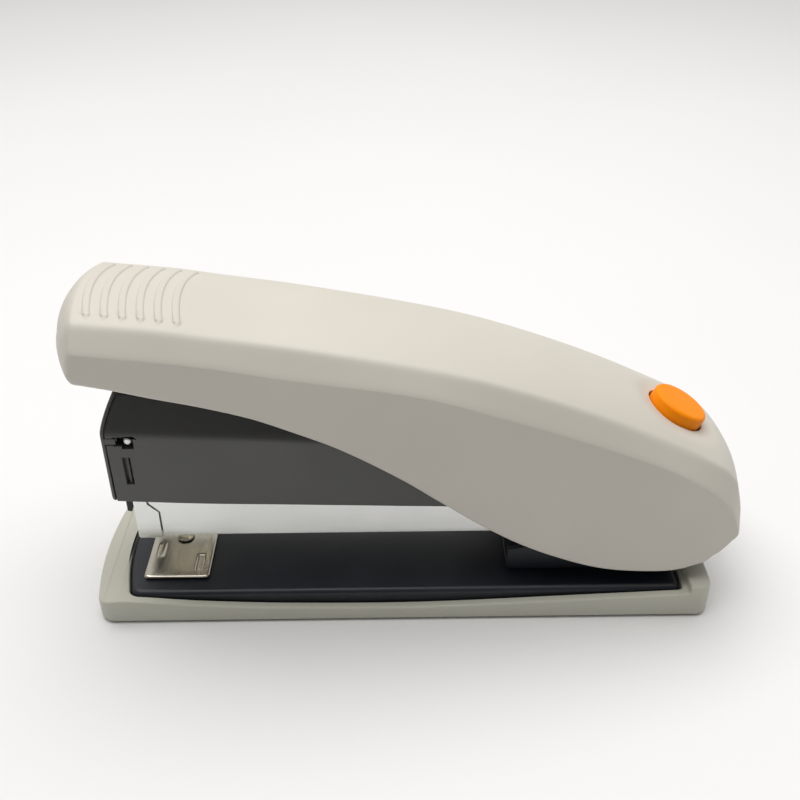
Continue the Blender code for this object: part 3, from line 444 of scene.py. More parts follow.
def place_from(tree, stretch=(1.0, 1.0, 1.0)):
    """Object coordinates, in metres, stretched per axis."""
    coordinates = tree.nodes.new("ShaderNodeTexCoord")
    mapping = tree.nodes.new("ShaderNodeMapping")
    mapping.inputs["Scale"].default_value = stretch
    tree.links.new(coordinates.outputs["Object"], mapping.inputs["Vector"])
    return mapping.outputs["Vector"]


def grain(tree, place, scale, detail=3.0, roughness=0.5):
    """Noise pattern; gives its value socket."""
    noise = add_node(tree, "ShaderNodeTexNoise", Scale=scale, Detail=detail, Roughness=roughness)
    tree.links.new(place, noise.inputs["Vector"])
    return noise.outputs["Fac"]


def spread(tree, value, low, high, start=0.3, end=0.7):
    """Map a pattern from start..end to low..high."""
    node = tree.nodes.new("ShaderNodeMapRange")
    node.inputs["From Min"].default_value = start
    node.inputs["From Max"].default_value = end
    node.inputs["To Min"].default_value = low
    node.inputs["To Max"].default_value = high
    tree.links.new(value, node.inputs["Value"])
    return node.outputs["Result"]


def tones(tree, value, first, second):
    """Colour that runs from first to second as a pattern rises."""
    ramp = tree.nodes.new("ShaderNodeValToRGB")
    for element, position, colour in zip(ramp.color_ramp.elements, (TONE_START, TONE_END), (first, second)):
        element.position = position
        element.color = (*colour, 1.0)
    tree.links.new(value, ramp.inputs["Fac"])
    return ramp.outputs["Color"]


def raise_by(tree, shader, value, distance, below=None):
    """Bump from a pattern, in metres; below is the normal of another bump under it."""
    bump = add_node(tree, "ShaderNodeBump", Strength=1.0, Distance=distance)
    tree.links.new(value, bump.inputs["Height"])
    if below is not None:
        tree.links.new(below, bump.inputs["Normal"])
    tree.links.new(bump.outputs["Normal"], shader.inputs["Normal"])
    return bump.outputs["Normal"]


def moulded_plastic(name, first, second, roughness, grain_size, depth, shine=0.45):
    """Moulded plastic with a fine grain and slow changes of tone."""
    material, tree, shader = finish_nodes(name)
    place = place_from(tree)
    slow = grain(tree, place, 28.0, 2.0)
    fine = grain(tree, place, 1.0 / grain_size, 4.0, 0.65)
    tree.links.new(tones(tree, slow, first, second), shader.inputs["Base Color"])
    tree.links.new(spread(tree, fine, roughness - 0.06, roughness + 0.06), shader.inputs["Roughness"])
    raise_by(tree, shader, fine, depth)
    shader.inputs["Specular IOR Level"].default_value = shine
    return material


def dark_moulding(name):
    """Dark grey plastic of the head, with a finer and deeper grain."""
    return moulded_plastic(
        name, (0.082, 0.082, 0.078), (0.094, 0.094, 0.090),
        roughness=0.44, grain_size=0.00028, depth=0.00003,
    )


def painted_shade_above(material):
    """Paint shade into a finish: darken its colour on the faces that lean upward."""
    tree = material.node_tree
    colour = tree.nodes["Principled BSDF"].inputs["Base Color"]
    plain = colour.links[0].from_socket
    geometry = tree.nodes.new("ShaderNodeNewGeometry")
    lean_parts = tree.nodes.new("ShaderNodeSeparateXYZ")
    tree.links.new(geometry.outputs["Normal"], lean_parts.inputs["Vector"])
    level = spread(tree, lean_parts.outputs["Z"], 1.0, PAINTED_SHADE_LEVEL, *PAINTED_SHADE_LEAN)
    painted_shade_scale = tree.nodes.new("ShaderNodeVectorMath")
    painted_shade_scale.operation = "SCALE"
    tree.links.new(plain, painted_shade_scale.inputs["Vector"])
    tree.links.new(level, painted_shade_scale.inputs["Scale"])
    tree.links.new(painted_shade_scale.outputs["Vector"], colour)
    return material


def painted_steel(name):
    """Satin blue-black paint with a faint orange peel."""
    material, tree, shader = finish_nodes(name)
    place = place_from(tree)
    slow = grain(tree, place, 60.0, 3.0)
    peel = grain(tree, place, 1400.0, 2.0)
    colour = tones(tree, slow, (0.0085, 0.0105, 0.0165), (0.013, 0.0155, 0.023))
    tree.links.new(colour, shader.inputs["Base Color"])
    tree.links.new(spread(tree, slow, 0.36, 0.46), shader.inputs["Roughness"])
    raise_by(tree, shader, peel, 0.000012)
    shader.inputs["Specular IOR Level"].default_value = 0.5
    return material


def sheet_metal(name, first, second, roughness, stretch, scratch_depth, pits=0.0, metallic=1.0):
    """Metal with fine marks, drawn out along the axes where stretch is low, and pits of a given depth."""
    material, tree, shader = finish_nodes(name)
    long_marks = grain(tree, place_from(tree, stretch), 900.0, 5.0, 0.7)
    cloud = grain(tree, place_from(tree), 90.0, 4.0)
    tree.links.new(tones(tree, cloud, first, second), shader.inputs["Base Color"])
    tree.links.new(spread(tree, long_marks, roughness - 0.07, roughness + 0.09), shader.inputs["Roughness"])
    normal = raise_by(tree, shader, long_marks, scratch_depth)
    if pits:
        cells = add_node(tree, "ShaderNodeTexVoronoi", Scale=420.0)
        tree.links.new(place_from(tree), cells.inputs["Vector"])
        holes = spread(tree, cells.outputs["Distance"], 0.0, 1.0, 0.02, 0.09)
        raise_by(tree, shader, holes, pits, normal)
    shader.inputs["Metallic"].default_value = metallic
    return material


def rubber_finish(name):
    """Matt rubber."""
    material, tree, shader = finish_nodes(name)
    fine = grain(tree, place_from(tree), 2500.0, 3.0)
    tree.links.new(tones(tree, fine, (0.02, 0.02, 0.02), (0.035, 0.035, 0.034)), shader.inputs["Base Color"])
    tree.links.new(spread(tree, fine, 0.75, 0.95), shader.inputs["Roughness"])
    raise_by(tree, shader, fine, 0.00005)
    return material


WARM_GREY = moulded_plastic(
    "warm_grey_moulding", (0.597, 0.567, 0.504), (0.622, 0.592, 0.529),
    roughness=0.46, grain_size=0.00045, depth=0.000012,
)
BASE_GREY = moulded_plastic(
    "base_grey_moulding", (0.515, 0.513, 0.436), (0.540, 0.538, 0.461),
    roughness=0.48, grain_size=0.00045, depth=0.000012,
)
DARK_GREY = dark_moulding("dark_grey_moulding")
# Head plastic with painted shade: its colour is darker on the faces that lean upward
HOUSING_GREY_PAINTED_SHADE = painted_shade_above(dark_moulding("housing_moulding_painted_shade"))
BLACK_PLASTIC = moulded_plastic(
    "black_moulding", (0.014, 0.014, 0.016), (0.022, 0.022, 0.024),
    roughness=0.5, grain_size=0.0004, depth=0.00002,
)
ORANGE = moulded_plastic(
    "orange_moulding", (1.0, 0.275, 0.001), (1.0, 0.295, 0.002),
    roughness=0.46, grain_size=0.0005, depth=0.00001, shine=0.14,
)
BLACK_STEEL = painted_steel("black_satin_paint")
ZINC = sheet_metal(
    "zinc_sheet", (0.70, 0.71, 0.70), (0.80, 0.81, 0.80),
    roughness=0.36, stretch=(0.06, 1.0, 1.0), scratch_depth=0.000006,
)
CHANNEL_ZINC = sheet_metal(
    "channel_zinc", (0.86, 0.87, 0.85), (0.92, 0.93, 0.91),
    roughness=0.17, stretch=(0.06, 1.0, 1.0), scratch_depth=0.000003, pits=0.00002, metallic=0.8,
)
NICKEL = sheet_metal(
    "nickel_plate", (0.55, 0.52, 0.44), (0.64, 0.60, 0.52),
    roughness=0.19, stretch=(1.0, 0.1, 1.0), scratch_depth=0.000003,
)
BRIGHT = sheet_metal(
    "bright_steel_wire", (0.62, 0.62, 0.62), (0.74, 0.74, 0.73),
    roughness=0.27, stretch=(1.0, 1.0, 1.0), scratch_depth=0.000003,
)
STAPLES = sheet_metal(
    "staple_wire_finish", (0.66, 0.67, 0.67), (0.82, 0.83, 0.83),
    roughness=0.30, stretch=(1.0, 0.2, 0.2), scratch_depth=0.000004,
)
RUBBER = rubber_finish("black_rubber")


# ---------------------------------------------------------------- camera, lights, floor

CAMERA_PLACE = (-0.00381, -0.18805, 0.1692)
CAMERA_PITCH, CAMERA_YAW, CAMERA_ROLL = radians(32.893), radians(-0.381), radians(-0.456)
LENS, SENSOR_WIDTH = 45.0, 36.0
# Brightness of the room ahead of the stapler, behind it, and added overhead
ROOM_FRONT, ROOM_BACK, ROOM_ABOVE = 0.12, 0.62, 0.12
SOFTBOX_PLACE, SOFTBOX_AIM = (-0.05, 0.12, 0.85), (0.0, 0.02, 0.0)
SOFTBOX_SIZE, SOFTBOX_POWER, SOFTBOX_COLOUR = 0.9, 7.6, (1.0, 0.985, 0.965)
FLOOR_HALF = 4.0


def camera():
    """Camera in front of the near side of the stapler, looking down on it."""
    c, s = cos(CAMERA_YAW), sin(CAMERA_YAW)
    forward = Vector((-s * cos(CAMERA_PITCH), c * cos(CAMERA_PITCH), -sin(CAMERA_PITCH)))
    right = Vector((c, s, 0.0))
    up = right.cross(forward)
    level_right = right * cos(CAMERA_ROLL) + up * sin(CAMERA_ROLL)
    level_up = up * cos(CAMERA_ROLL) - right * sin(CAMERA_ROLL)
    data = bpy.data.cameras.new("camera")
    data.lens = LENS
    data.sensor_width = SENSOR_WIDTH
    data.clip_start = 0.01
    obj = add_object("camera", data)
    turn = Matrix((level_right, level_up, -forward)).transposed().to_4x4()
    obj.matrix_world = Matrix.Translation(CAMERA_PLACE) @ turn
    bpy.context.scene.camera = obj


def softbox():
    """Large square soft light overhead."""
    data = bpy.data.lights.new("softbox", "AREA")
    data.shape = "SQUARE"
    data.size = SOFTBOX_SIZE
    data.energy = SOFTBOX_POWER
    data.color = SOFTBOX_COLOUR
    obj = add_object("softbox", data)
    obj.location = SOFTBOX_PLACE
    direction = Vector(SOFTBOX_AIM) - Vector(SOFTBOX_PLACE)
    obj.rotation_euler = direction.to_track_quat("-Z", "Y").to_euler()


def room_light():
    """White room: brightest behind the stapler, dimmer overhead and dimmest in front."""
    world = bpy.data.worlds.new("studio")
    world.use_nodes = True
    tree = world.node_tree
    coordinates = tree.nodes.new("ShaderNodeTexCoord")
    direction = tree.nodes.new("ShaderNodeSeparateXYZ")
    tree.links.new(coordinates.outputs["Generated"], direction.inputs["Vector"])
    level = tree.nodes.new("ShaderNodeMath")
    level.operation = "ADD"
    tree.links.new(spread(tree, direction.outputs["Y"], ROOM_FRONT, ROOM_BACK, -0.8, 0.9), level.inputs[0])
    tree.links.new(spread(tree, direction.outputs["Z"], 0.0, ROOM_ABOVE, 0.1, 1.0), level.inputs[1])
    background = tree.nodes["Background"]
    background.inputs["Color"].default_value = (1.0, 0.99, 0.97, 1.0)
    tree.links.new(level.outputs["Value"], background.inputs["Strength"])
    bpy.context.scene.world = world


def pale_floor():
    """Large pale floor, matt with slow changes of tone."""
    material, tree, shader = finish_nodes("pale_floor")
    slow = grain(tree, place_from(tree), 3.0, 2.0)
    colour = tones(tree, slow, (0.825, 0.825, 0.83), (0.845, 0.845, 0.85))
    tree.links.new(colour, shader.inputs["Base Color"])
    tree.links.new(spread(tree, slow, 0.5, 0.6), shader.inputs["Roughness"])
    shader.inputs["Specular IOR Level"].default_value = 0.25
    mesh = bpy.data.meshes.new("floor")
    corners = [(x, y, 0) for x, y in rectangle(0, 0, FLOOR_HALF, FLOOR_HALF)]
    mesh.from_pydata(corners, [], [(0, 1, 2, 3)])
    mesh.materials.append(material)
    floor = add_object("floor", mesh)


def studio():
    """White room, a large softbox overhead, and a pale floor."""
    room_light()
    bpy.context.scene.view_settings.view_transform = "Standard"
    softbox()
    pale_floor()


# ---------------------------------------------------------------- handle

def soft_lower(first, second, softness):
    """The lower of two heights, with the corner between them rounded."""
    overlap = max(softness - abs(first - second), 0.0) / softness
    return min(first, second) - overlap * overlap * softness / 4


def cover_top(x, reach):
    """Height of the handle's upper face at x, at a distance reach from its middle."""
    crease = COVER_CREASE_HALF_WIDTH
    height = between(COVER_CREASE, x)
    inward = 1.0 - (reach / crease) ** 2
    into_rear = min(max((x - REAR_START) / BULGE_LENGTH, 0.0), 1.0)
    taper = min(1.0, (COVER_REAR - REAR_TOP_END - x) / CROWN_FADE + CROWN_LEFT)
    crowned = between(COVER_CREASE, x - REAR_BULGE * inward * into_rear) + COVER_CROWN * taper * inward
    fall = (between(COVER_SIDE_TOP, x) - height) / (COVER_HALF_WIDTH - crease)
    return soft_lower(crowned, height + fall * (reach - crease), CREASE_SOFTNESS)


def rib_height(x, y):
    """Height of the grip ribs, which lie along x = constant before the bow is added."""
    nearest = RIB_FIRST_X + RIB_STEP * min(max(round((x - RIB_FIRST_X) / RIB_STEP), 0), RIB_COUNT - 1)
    past_end = max(abs(y) - (RIB_HALF_LENGTH - RIB_HALF_WIDTH), 0.0)
    away = ((x - nearest) ** 2 + past_end**2) ** 0.5
    return RIB_HEIGHT * (1.0 - smooth_step(RIB_HALF_WIDTH - RIB_FLANK, RIB_HALF_WIDTH, away))


def scoop(x, y, z):
    """Depth of the shallow scoop round the release button, deepest in front of it."""
    offset = Vector((x, y, z)) - BUTTON_TOP
    flat = offset - BUTTON_AXIS * offset.dot(BUTTON_AXIS)
    if flat.length > BUTTON_HOLE + SCOOP_REACH:
        return 0.0
    forward = max(-flat.x / max(flat.length, 0.001), 0.0)
    fade = 1.0 - smooth_step(BUTTON_HOLE - 1.0, BUTTON_HOLE + SCOOP_REACH, flat.length)
    return SCOOP_DEPTH * (SCOOP_BEHIND + (1.0 - SCOOP_BEHIND) * forward) * fade


def cover_stations_x():
    """Places along the top of the handle, close together where the ribs and the button are."""
    places = [COVER_FRONT + BROW, COVER_FRONT + BROW + 0.5]
    flank = (0.0, 0.33, 0.67, 1.0)
    for index in range(RIB_COUNT):
        middle = RIB_FIRST_X + RIB_STEP * index
        edge = [RIB_HALF_WIDTH - RIB_FLANK * share for share in flank]
        places += [middle - e for e in edge] + [middle] + [middle + e for e in reversed(edge)]
        places += [middle + RIB_STEP * 0.42, middle + RIB_STEP * 0.58]
    x = RIB_FIRST_X + RIB_STEP * RIB_COUNT - 1.0
    while x < BUTTON_STATIONS_X:
        places.append(x)
        x += COARSE_STEP
    while x < COVER_REAR - REAR_TOP_END - FINE_STEP / 2:
        places.append(x)
        x += FINE_STEP
    places.append(COVER_REAR - REAR_TOP_END)
    return sorted(places)


def cover_outline(y, stations, inset=0.0, drop=0.0, detail=False):
    """Closed side outline of the handle at a distance y from its middle.

    It can be set in by inset, and its lower edge lowered by drop.
    """
    reach = abs(y) * COVER_HALF_WIDTH / (COVER_HALF_WIDTH - inset)
    share = reach / COVER_HALF_WIDTH
    into_bevel = max(reach - COVER_CREASE_HALF_WIDTH, 0.0) / (COVER_HALF_WIDTH - COVER_CREASE_HALF_WIDTH)
    to_crease = min(reach / COVER_CREASE_HALF_WIDTH, 1.0) ** 2
    brow_depth = BROW + (CREASE_BROW - BROW) * to_crease + (SIDE_BROW - CREASE_BROW) * into_bevel
    front_shift = FRONT_BOW * share**2 + brow_depth - BROW + inset
    rear_shift = REAR_BOW * share**2 + inset
    front = COVER_FRONT + FRONT_BOW * share**2 + inset
    rear = COVER_REAR - rear_shift
    rib_shift = RIB_BOW * min(abs(y), RIB_HALF_LENGTH) ** 2
    points = []
    for x0 in stations:
        into_front = 1.0 - smooth_step(COVER_FRONT + BROW, BROW_END, x0)
        into_ribs = (1.0 - into_front) * (1.0 - smooth_step(*RIB_BOW_FADE, x0))
        into_rear = smooth_step(REAR_START, COVER_REAR - REAR_TOP_END, x0)
        x = x0 + front_shift * into_front + rib_shift * into_ribs - rear_shift * into_rear
        z = cover_top(x, reach) - inset
        if detail:
            z += rib_height(x0, y)
            z -= scoop(x, y, z)
        points.append((x, z))
    brow, end = points[0], points[-1]
    bottom_end, bottom_start = rear - REAR_FOOT, front + FRONT_FOOT_END
    bottom = [
        (x, between(COVER_BOTTOM, x) - drop)
        for x in (bottom_end + (bottom_start - bottom_end) * s for s in shares(BOTTOM_SAMPLES))
    ]
    foot = bottom[0][1]
    turn = [(rear - ahead, foot + (end[1] - foot) * s) for ahead, s in REAR_TURN]
    steps = TURN_STEPS
    points += bend_through([points[-2], end, *turn, bottom[0], bottom[1]], steps)[steps + 1:-steps - 1]
    points += bottom
    foot = bottom[-1][1]
    face = [(front + behind, foot + height) for behind, height in FRONT_FOOT]
    face += [(front + depth * brow_depth, foot + (brow[1] - foot) * s) for depth, s in FRONT_BROW]
    points += bend_through([bottom[-1], *face, brow, points[1]], steps)[1:-steps - 1]
    return points


def shrunk(outline, depth, top_count):
    """Outline moved inward by depth, but much less along its top, which is already bevelled."""
    moved = []
    count = len(outline)
    for i, (x, z) in enumerate(outline):
        before, after = outline[i - 1], outline[(i + 1) % count]
        along = Vector((after[0] - before[0], after[1] - before[1])).normalized()
        from_top = max(min(i - (top_count - 1), count - i), 0)
        share = TOP_SHARE + (1.0 - TOP_SHARE) * smooth_step(0, EASE_POINTS, from_top)
        moved.append((x + along.y * depth * share, z - along.x * depth * share))
    return moved


def side_rings(side, stations):
    """Rings that round one side edge of the handle, then a flat border on that side."""
    rings = []
    for turn in (0.0, 22.5, 45.0, 67.5, 90.0):
        y = COVER_HALF_WIDTH - COVER_EDGE * (1 - sin(radians(turn)))
        outline = shrunk(cover_outline(y, stations), COVER_EDGE * (1 - cos(radians(turn))), len(stations))
        rings.append([(x, side * y, z) for x, z in outline])
    outline = shrunk(cover_outline(COVER_HALF_WIDTH, stations), COVER_EDGE + SIDE_BORDER, len(stations))
    rings.append([(x, side * COVER_HALF_WIDTH, z) for x, z in outline])
    return rings


def strip_sides(bm):
    """Split the two large side faces into upright strips, so that they shade evenly."""
    x = COVER_FRONT
    while x < COVER_REAR:
        flat = [
            face for face in bm.faces
            if all(abs(abs(vert.co.y) - COVER_HALF_WIDTH) < 0.001 for vert in face.verts)
        ]
        edges = dict.fromkeys(edge for face in flat for edge in face.edges)
        verts = dict.fromkeys(vert for face in flat for vert in face.verts)
        bmesh.ops.bisect_plane(
            bm, geom=[*flat, *edges, *verts], plane_co=(x, 0, 0), plane_no=(1, 0, 0)
        )
        x += SIDE_STRIP


def cover_stations_y():
    """Places across the handle, close together at the rib ends and the creases."""
    half = [0.0, 1.5, 3.0, 4.5, 6.0, 7.5, 9.0, 10.0, 10.8, 11.15, 11.35, 11.5, 11.65, 11.8, 12.0, 12.5]
    half += [13.2, 13.7, 14.1, 14.4, 14.7, 15.0, 15.4, 16.0, 16.7]
    return [-y for y in reversed(half[1:])] + half


def along_button(distance):
    """Point on the button's axis, distance below its top."""
    return BUTTON_TOP - BUTTON_AXIS * distance


def at_hole_rim(edge):
    """Whether an edge lies on the upper rim of the button's hole."""
    for vert in edge.verts:
        offset = vert.co - BUTTON_TOP
        radius = (offset - BUTTON_AXIS * offset.dot(BUTTON_AXIS)).length
        if abs(radius - BUTTON_HOLE) > 0.05:
            return False
    return any(face.normal.dot(BUTTON_AXIS) > 0.5 for face in edge.link_faces)


def handle_cover():
    """Hollow shell of the handle with its grip ribs and the hole for the button."""
    stations = cover_stations_x()
    rings = []
    for y in cover_stations_y():
        rings.append([(x, y, z) for x, z in cover_outline(y, stations, detail=True)])
    outer = loft(side_rings(-1, stations)[::-1] + rings + side_rings(1, stations))
    strip_sides(outer)
    bmesh.ops.triangulate(outer, faces=outer.faces)
    coarse = sorted({*stations[::4], stations[-1]})
    inside_half = COVER_HALF_WIDTH - COVER_WALL
    inner = loft([
        [(x, y, z) for x, z in cover_outline(y, coarse, COVER_WALL, COVER_INSIDE_DROP)]
        for y in (s * inside_half for s in (-1.0, -0.8, -0.6, -0.3, 0.0, 0.3, 0.6, 0.8, 1.0))
    ])
    bmesh.ops.triangulate(inner, faces=inner.faces)
    hole = turned(along_button(12.0), BUTTON_AXIS, [(0.0, BUTTON_HOLE), (30.0, BUTTON_HOLE)], 72)
    shell = carve(outer, [inner, hole])
    rim = [edge for edge in sharp_edges(shell, 40.0) if at_hole_rim(edge)]
    bmesh.ops.bevel(
        shell, geom=rim, offset=HOLE_RIM, segments=2, profile=0.5, affect="EDGES", clamp_overlap=True
    )
    keep_flat(piece(
        "handle_shell", shell, "handle", WARM_GREY, ("handle_cover",), smooth=50.0
    ))


def release_button():
    """Button with a rounded rim and a faintly domed top."""
    radius, edge = BUTTON_RADIUS, BUTTON_EDGE
    profile = [(0.0, 0.3), (0.02, 2.0), (0.06, 4.0)]
    for share in shares(8):
        angle = share * pi / 2
        profile.append((0.1 + edge * (1 - cos(angle)), radius - edge + edge * sin(angle)))
    profile += [
        (FLANGE_TOP, radius), (FLANGE_TOP, FLANGE_RADIUS), (FLANGE_BOTTOM, FLANGE_RADIUS),
        (FLANGE_BOTTOM, STEM_RADIUS), (STEM_END - 0.2, STEM_RADIUS), (STEM_END, STEM_RADIUS - 0.3),
    ]
    button = turned(BUTTON_TOP, -BUTTON_AXIS, profile, 96)
    piece("button_cap", button, "button", ORANGE, ("release_button",))


# ---------------------------------------------------------------- head

def housing_section(x, inset=0.0, lower=0.0):
    """Section of the head housing with rounded corners."""
    side, top_side = HOUSING_HALF_WIDTH - inset, HOUSING_TOP_HALF_WIDTH - inset
    low = between(HOUSING_BOTTOM, x) - lower
    crease, top = between(HOUSING_CREASE, x), between(HOUSING_TOP, x) - inset
    corners = [
        (-side, low), (side, low), (side, crease), (top_side, top), (-top_side, top), (-side, crease),
    ]
    reaches = (0.5, 0.5, 1.5, 1.0, 1.0, 1.5)
    return [(x, y, z) for y, z in fillet(corners, reaches, 5)]


def lean(z):
    """How far the front of the head has leaned back at a height."""
    share = max((z - HEAD_CREASE_Z) / (HEAD_TOP_Z - HEAD_CREASE_Z), 0.0)
    return HEAD_LEAN * share**1.35


def leaning_front(x, deep):
    """Cutter that takes away what lies ahead of the leaning front face."""
    heights = [20.0, 40.0] + LEAN_HEIGHTS + [75.0]
    face = [(x + lean(min(z, 60.0)), z) for z in heights]
    return across(face + [(x - deep, heights[-1]), (x - deep, heights[0])], -20.0, 20.0)


def side_cut(side, cut):
    """Cutter that goes into one side of the head as far as the cut says."""
    reach, x_low, x_high, z_low, z_high = cut
    y_low, y_high = sorted((side * reach, side * 20.0))
    return block(x_low, x_high, y_low, y_high, z_low, z_high)


def head_housing():
    """Housing open below and at both ends, with a slot along its top and cuts in its sides."""
    xs = [SEAM_X + (HOUSING_REAR - SEAM_X) * s for s in shares(24)]
    outer = loft([housing_section(x) for x in [SEAM_X - 1.0] + xs])
    inside_xs = [SEAM_X - 3.0] + xs[:-1] + [HOUSING_REAR + 3.0]
    inner = loft([housing_section(x, HOUSING_WALL, 5.0) for x in inside_xs])
    half = HOUSING_SLOT_HALF_WIDTH
    slot = block(HOUSING_SLOT_FRONT, HOUSING_REAR + 10.0, -half, half, 40.0, 70.0)
    cutters = [leaning_front(SEAM_X, 6.0), inner, slot]
    cutters += [side_cut(side, cut) for side in (-1, 1) for cut in SIDE_CUTS]
    shell = carve(outer, cutters)
    soften(shell, width=0.18, sharper_than=50.0, segments=2)
    # The head shell's finish carries painted shade on its upper flanks
    keep_flat(piece("head_shell", shell, "head", HOUSING_GREY_PAINTED_SHADE, ("head_housing",)))


def nose_cap():
    """Front cap: a plate with rounded edges that leans back with the head, and two side tongues."""
    side, top_side = HOUSING_HALF_WIDTH, HOUSING_TOP_HALF_WIDTH
    low, top = CAP_BOTTOM, HEAD_TOP_Z - 0.2
    rings = []
    for behind, inset in CAP_EDGE:
        corners = [
            (-side + inset, low + inset), (side - inset, low + inset), (side - inset, HEAD_CREASE_Z),
            (top_side - inset, top), (-top_side + inset, top), (-side + inset, HEAD_CREASE_Z),
        ]
        reaches = (1.3, 1.3, 1.5, 0.8, 0.8, 1.5)
        rings.append([(HEAD_FRONT + behind, y, z) for y, z in fillet(corners, reaches, 5)])
    cap = loft(rings)
    for z in LEAN_HEIGHTS:
        bmesh.ops.bisect_plane(
            cap, geom=cap.verts[:] + cap.edges[:] + cap.faces[:], plane_co=(0, 0, z), plane_no=(0, 0, 1)
        )
    for vert in cap.verts:
        vert.co.x += lean(vert.co.z)
    bmesh.ops.triangulate(cap, faces=cap.faces)
    root = HEAD_FRONT + CAP_THICKNESS - 0.5
    tongues = []
    for side in (-1, 1):
        y_low, y_high = sorted((side * TONGUE_INSIDE, side * TONGUE_OUTSIDE))
        tongues.append(block(root, TONGUE_END, y_low, y_high, TONGUE_LOW, TONGUE_HIGH))
    notch = block(-70.0, -60.0, -CAP_NOTCH_HALF_WIDTH, CAP_NOTCH_HALF_WIDTH, 20.0, CAP_NOTCH_TOP)
    cap = carve(cap, [notch])
    cap = carve(cap, tongues, "UNION")
    keep_flat(piece("front_cap", cap, "head", DARK_GREY, ("nose_cap",), smooth=40.0))


# ---------------------------------------------------------------- base

def bow(half_width, front, drop, corner, rear, rear_corner):
    """Plan outline of the base: bowed front, straight sides, square rear."""
    points = []
    for share in shares(32):
        y = (half_width - corner) * (2 * share - 1)
        points.append((front + drop * (y / (half_width - corner)) ** 2, -y))
    side_front = front + drop
    points += arc((side_front + corner, -half_width + corner), corner, 180, 270, 14)[1:]
    points += arc((rear - rear_corner, -half_width + rear_corner), rear_corner, 270, 360, 8)
    points += arc((rear - rear_corner, half_width - rear_corner), rear_corner, 0, 90, 8)
    points += arc((side_front + corner, half_width - corner), corner, 90, 180, 14)[:-1]
    return points


def base_tray():
    """Tray with a rim that falls to the middle, a recess for the plate, and a block at the rear."""
    plan = bow(BASE_HALF_WIDTH, BASE_FRONT, BASE_BOW, BASE_CORNER, BASE_REAR, BASE_REAR_CORNER)
    body = upright(plan, TRAY_BOTTOM, REAR_BLOCK_TOP)
    rim = [TRAY_RIM[0][0] + (TRAY_RIM[-1][0] - TRAY_RIM[0][0]) * s for s in shares(40)]
    above = [(BASE_FRONT - 5.0, 4.9)] + [(x, between(TRAY_RIM, x)) for x in rim]
    above += [(REAR_BLOCK_X, TRAY_RIM[-1][1]), (REAR_BLOCK_X + 0.4, 20.0), (BASE_FRONT - 5.0, 20.0)]
    cutters = [across(above, -30.0, 30.0)]
    recess = bow(PLATE_HALF_WIDTH + GAP, PLATE_FRONT - GAP, PLATE_BOW, 2.5, PLATE_REAR + GAP, 1.0)
    cutters.append(upright(recess, TRAY_FLOOR, 20.0))
    cutters.append(drill(ANVIL_X, 0, -1, 8, ANVIL_WELL))
    cutters += [drill(x, y, -1, 2.3, FOOT_POCKET) for x in FOOT_X for y in FOOT_Y]
    cutters += [drill(x, 0, -1, 8, SCREW_HOLE, 24) for x in SCREW_X]
    tray = soften(carve(body, cutters), width=0.45, sharper_than=38.0, segments=3)
    piece("tray_shell", tray, "base", BASE_GREY, ("base_tray",))


def base_plate():
    """Pressed plate with rounded shoulders."""
    shoulder = PLATE_SHOULDER
    rings = []
    levels = [(TRAY_FLOOR + GAP, 0.0), (PLATE_TOP - shoulder, 0.0)]
    for share in shares(6)[1:]:
        angle = share * pi / 2
        levels.append((PLATE_TOP - shoulder + shoulder * sin(angle), shoulder * (1 - cos(angle))))
    for z, inset in levels:
        outline = bow(
            PLATE_HALF_WIDTH - inset, PLATE_FRONT + inset, PLATE_BOW, 2.4 - inset * 0.6, PLATE_REAR - inset,
            max(1.6 - inset * 0.6, 0.4),
        )
        rings.append([(x, y, z) for x, y in outline])
    inner = bow(PLATE_HALF_WIDTH - SHEET, PLATE_FRONT + SHEET, PLATE_BOW, 1.6, PLATE_REAR - SHEET, 0.6)
    cutters = [upright(inner, 0.0, PLATE_TOP - SHEET), drill(ANVIL_X, 0, 0, 20, ANVIL_HOLE, 32)]
    cutters += [drill(x, y, 0, 20, RIVET_HOLE, 24) for x in RIVET_X for y in RIVET_Y]
    plate = carve(loft(rings), cutters)
    keep_flat(piece("plate_pressing", plate, "base", BLACK_STEEL, ("base_plate",)))


# ---------------------------------------------------------------- anvil

def anvil():
    """Nickelled anvil with rolled edges and two pairs of pockets."""
    bottom = PLATE_TOP + GAP
    top = bottom + ANVIL_THICKNESS
    rings = []
    for height, inset in ANVIL_EDGE:
        corners = rectangle(ANVIL_X, 0, ANVIL_HALF_LENGTH - inset, ANVIL_HALF_WIDTH - inset)
        rings.append([(x, y, bottom + height) for x, y in fillet(corners, (ANVIL_CORNER,) * 4, 5)])
    cutters = [drill(ANVIL_X, 0, 0, 20, ANVIL_HOLE, 32)]
    for offset, near, far, round_by in POCKETS:
        for side in (-1, 1):
            cutters.append(pocket(ANVIL_X + offset, side * near, side * far, round_by, top))
    plate = carve(loft(rings), cutters)
    piece("anvil_face", plate, "anvil", NICKEL, ("anvil_plate",))


def pocket(x, near, far, round_by, top):
    """Cutter for one staple pocket, with sloping walls."""
    middle, half = (near + far) / 2, abs(far - near) / 2
    rings = []
    for height, inset in POCKET_WALL:
        corners = rectangle(x, middle, POCKET_HALF_WIDTH - inset, half - inset)
        reach = max(round_by - inset, 0.2)
        rings.append([(u, v, top + height) for u, v in fillet(corners, (reach,) * 4, 6)])
    return loft(rings)


# ---------------------------------------------------------------- springs and staples

def coil(start, axis, length, radius, wire, turns):
    """Helical spring whose first and last turns lie closer together."""
    axis = Vector(axis).normalized()
    side = axis.orthogonal().normalized()
    other = axis.cross(side)
    rings = []
    for share in shares(turns * COIL_STEPS):
        turn = 2 * pi * turns * share
        outwards = side * cos(turn) + other * sin(turn)
        rise = wire + (length - 2 * wire) * (0.55 * share + 0.45 * smooth_step(0.0, 1.0, share))
        centre = Vector(start) + axis * rise + outwards * radius
        angles = [2 * pi * i / COIL_SIDES for i in range(COIL_SIDES)]
        rings.append([centre + outwards * wire * cos(a) + axis * wire * sin(a) for a in angles])
    return loft(rings)


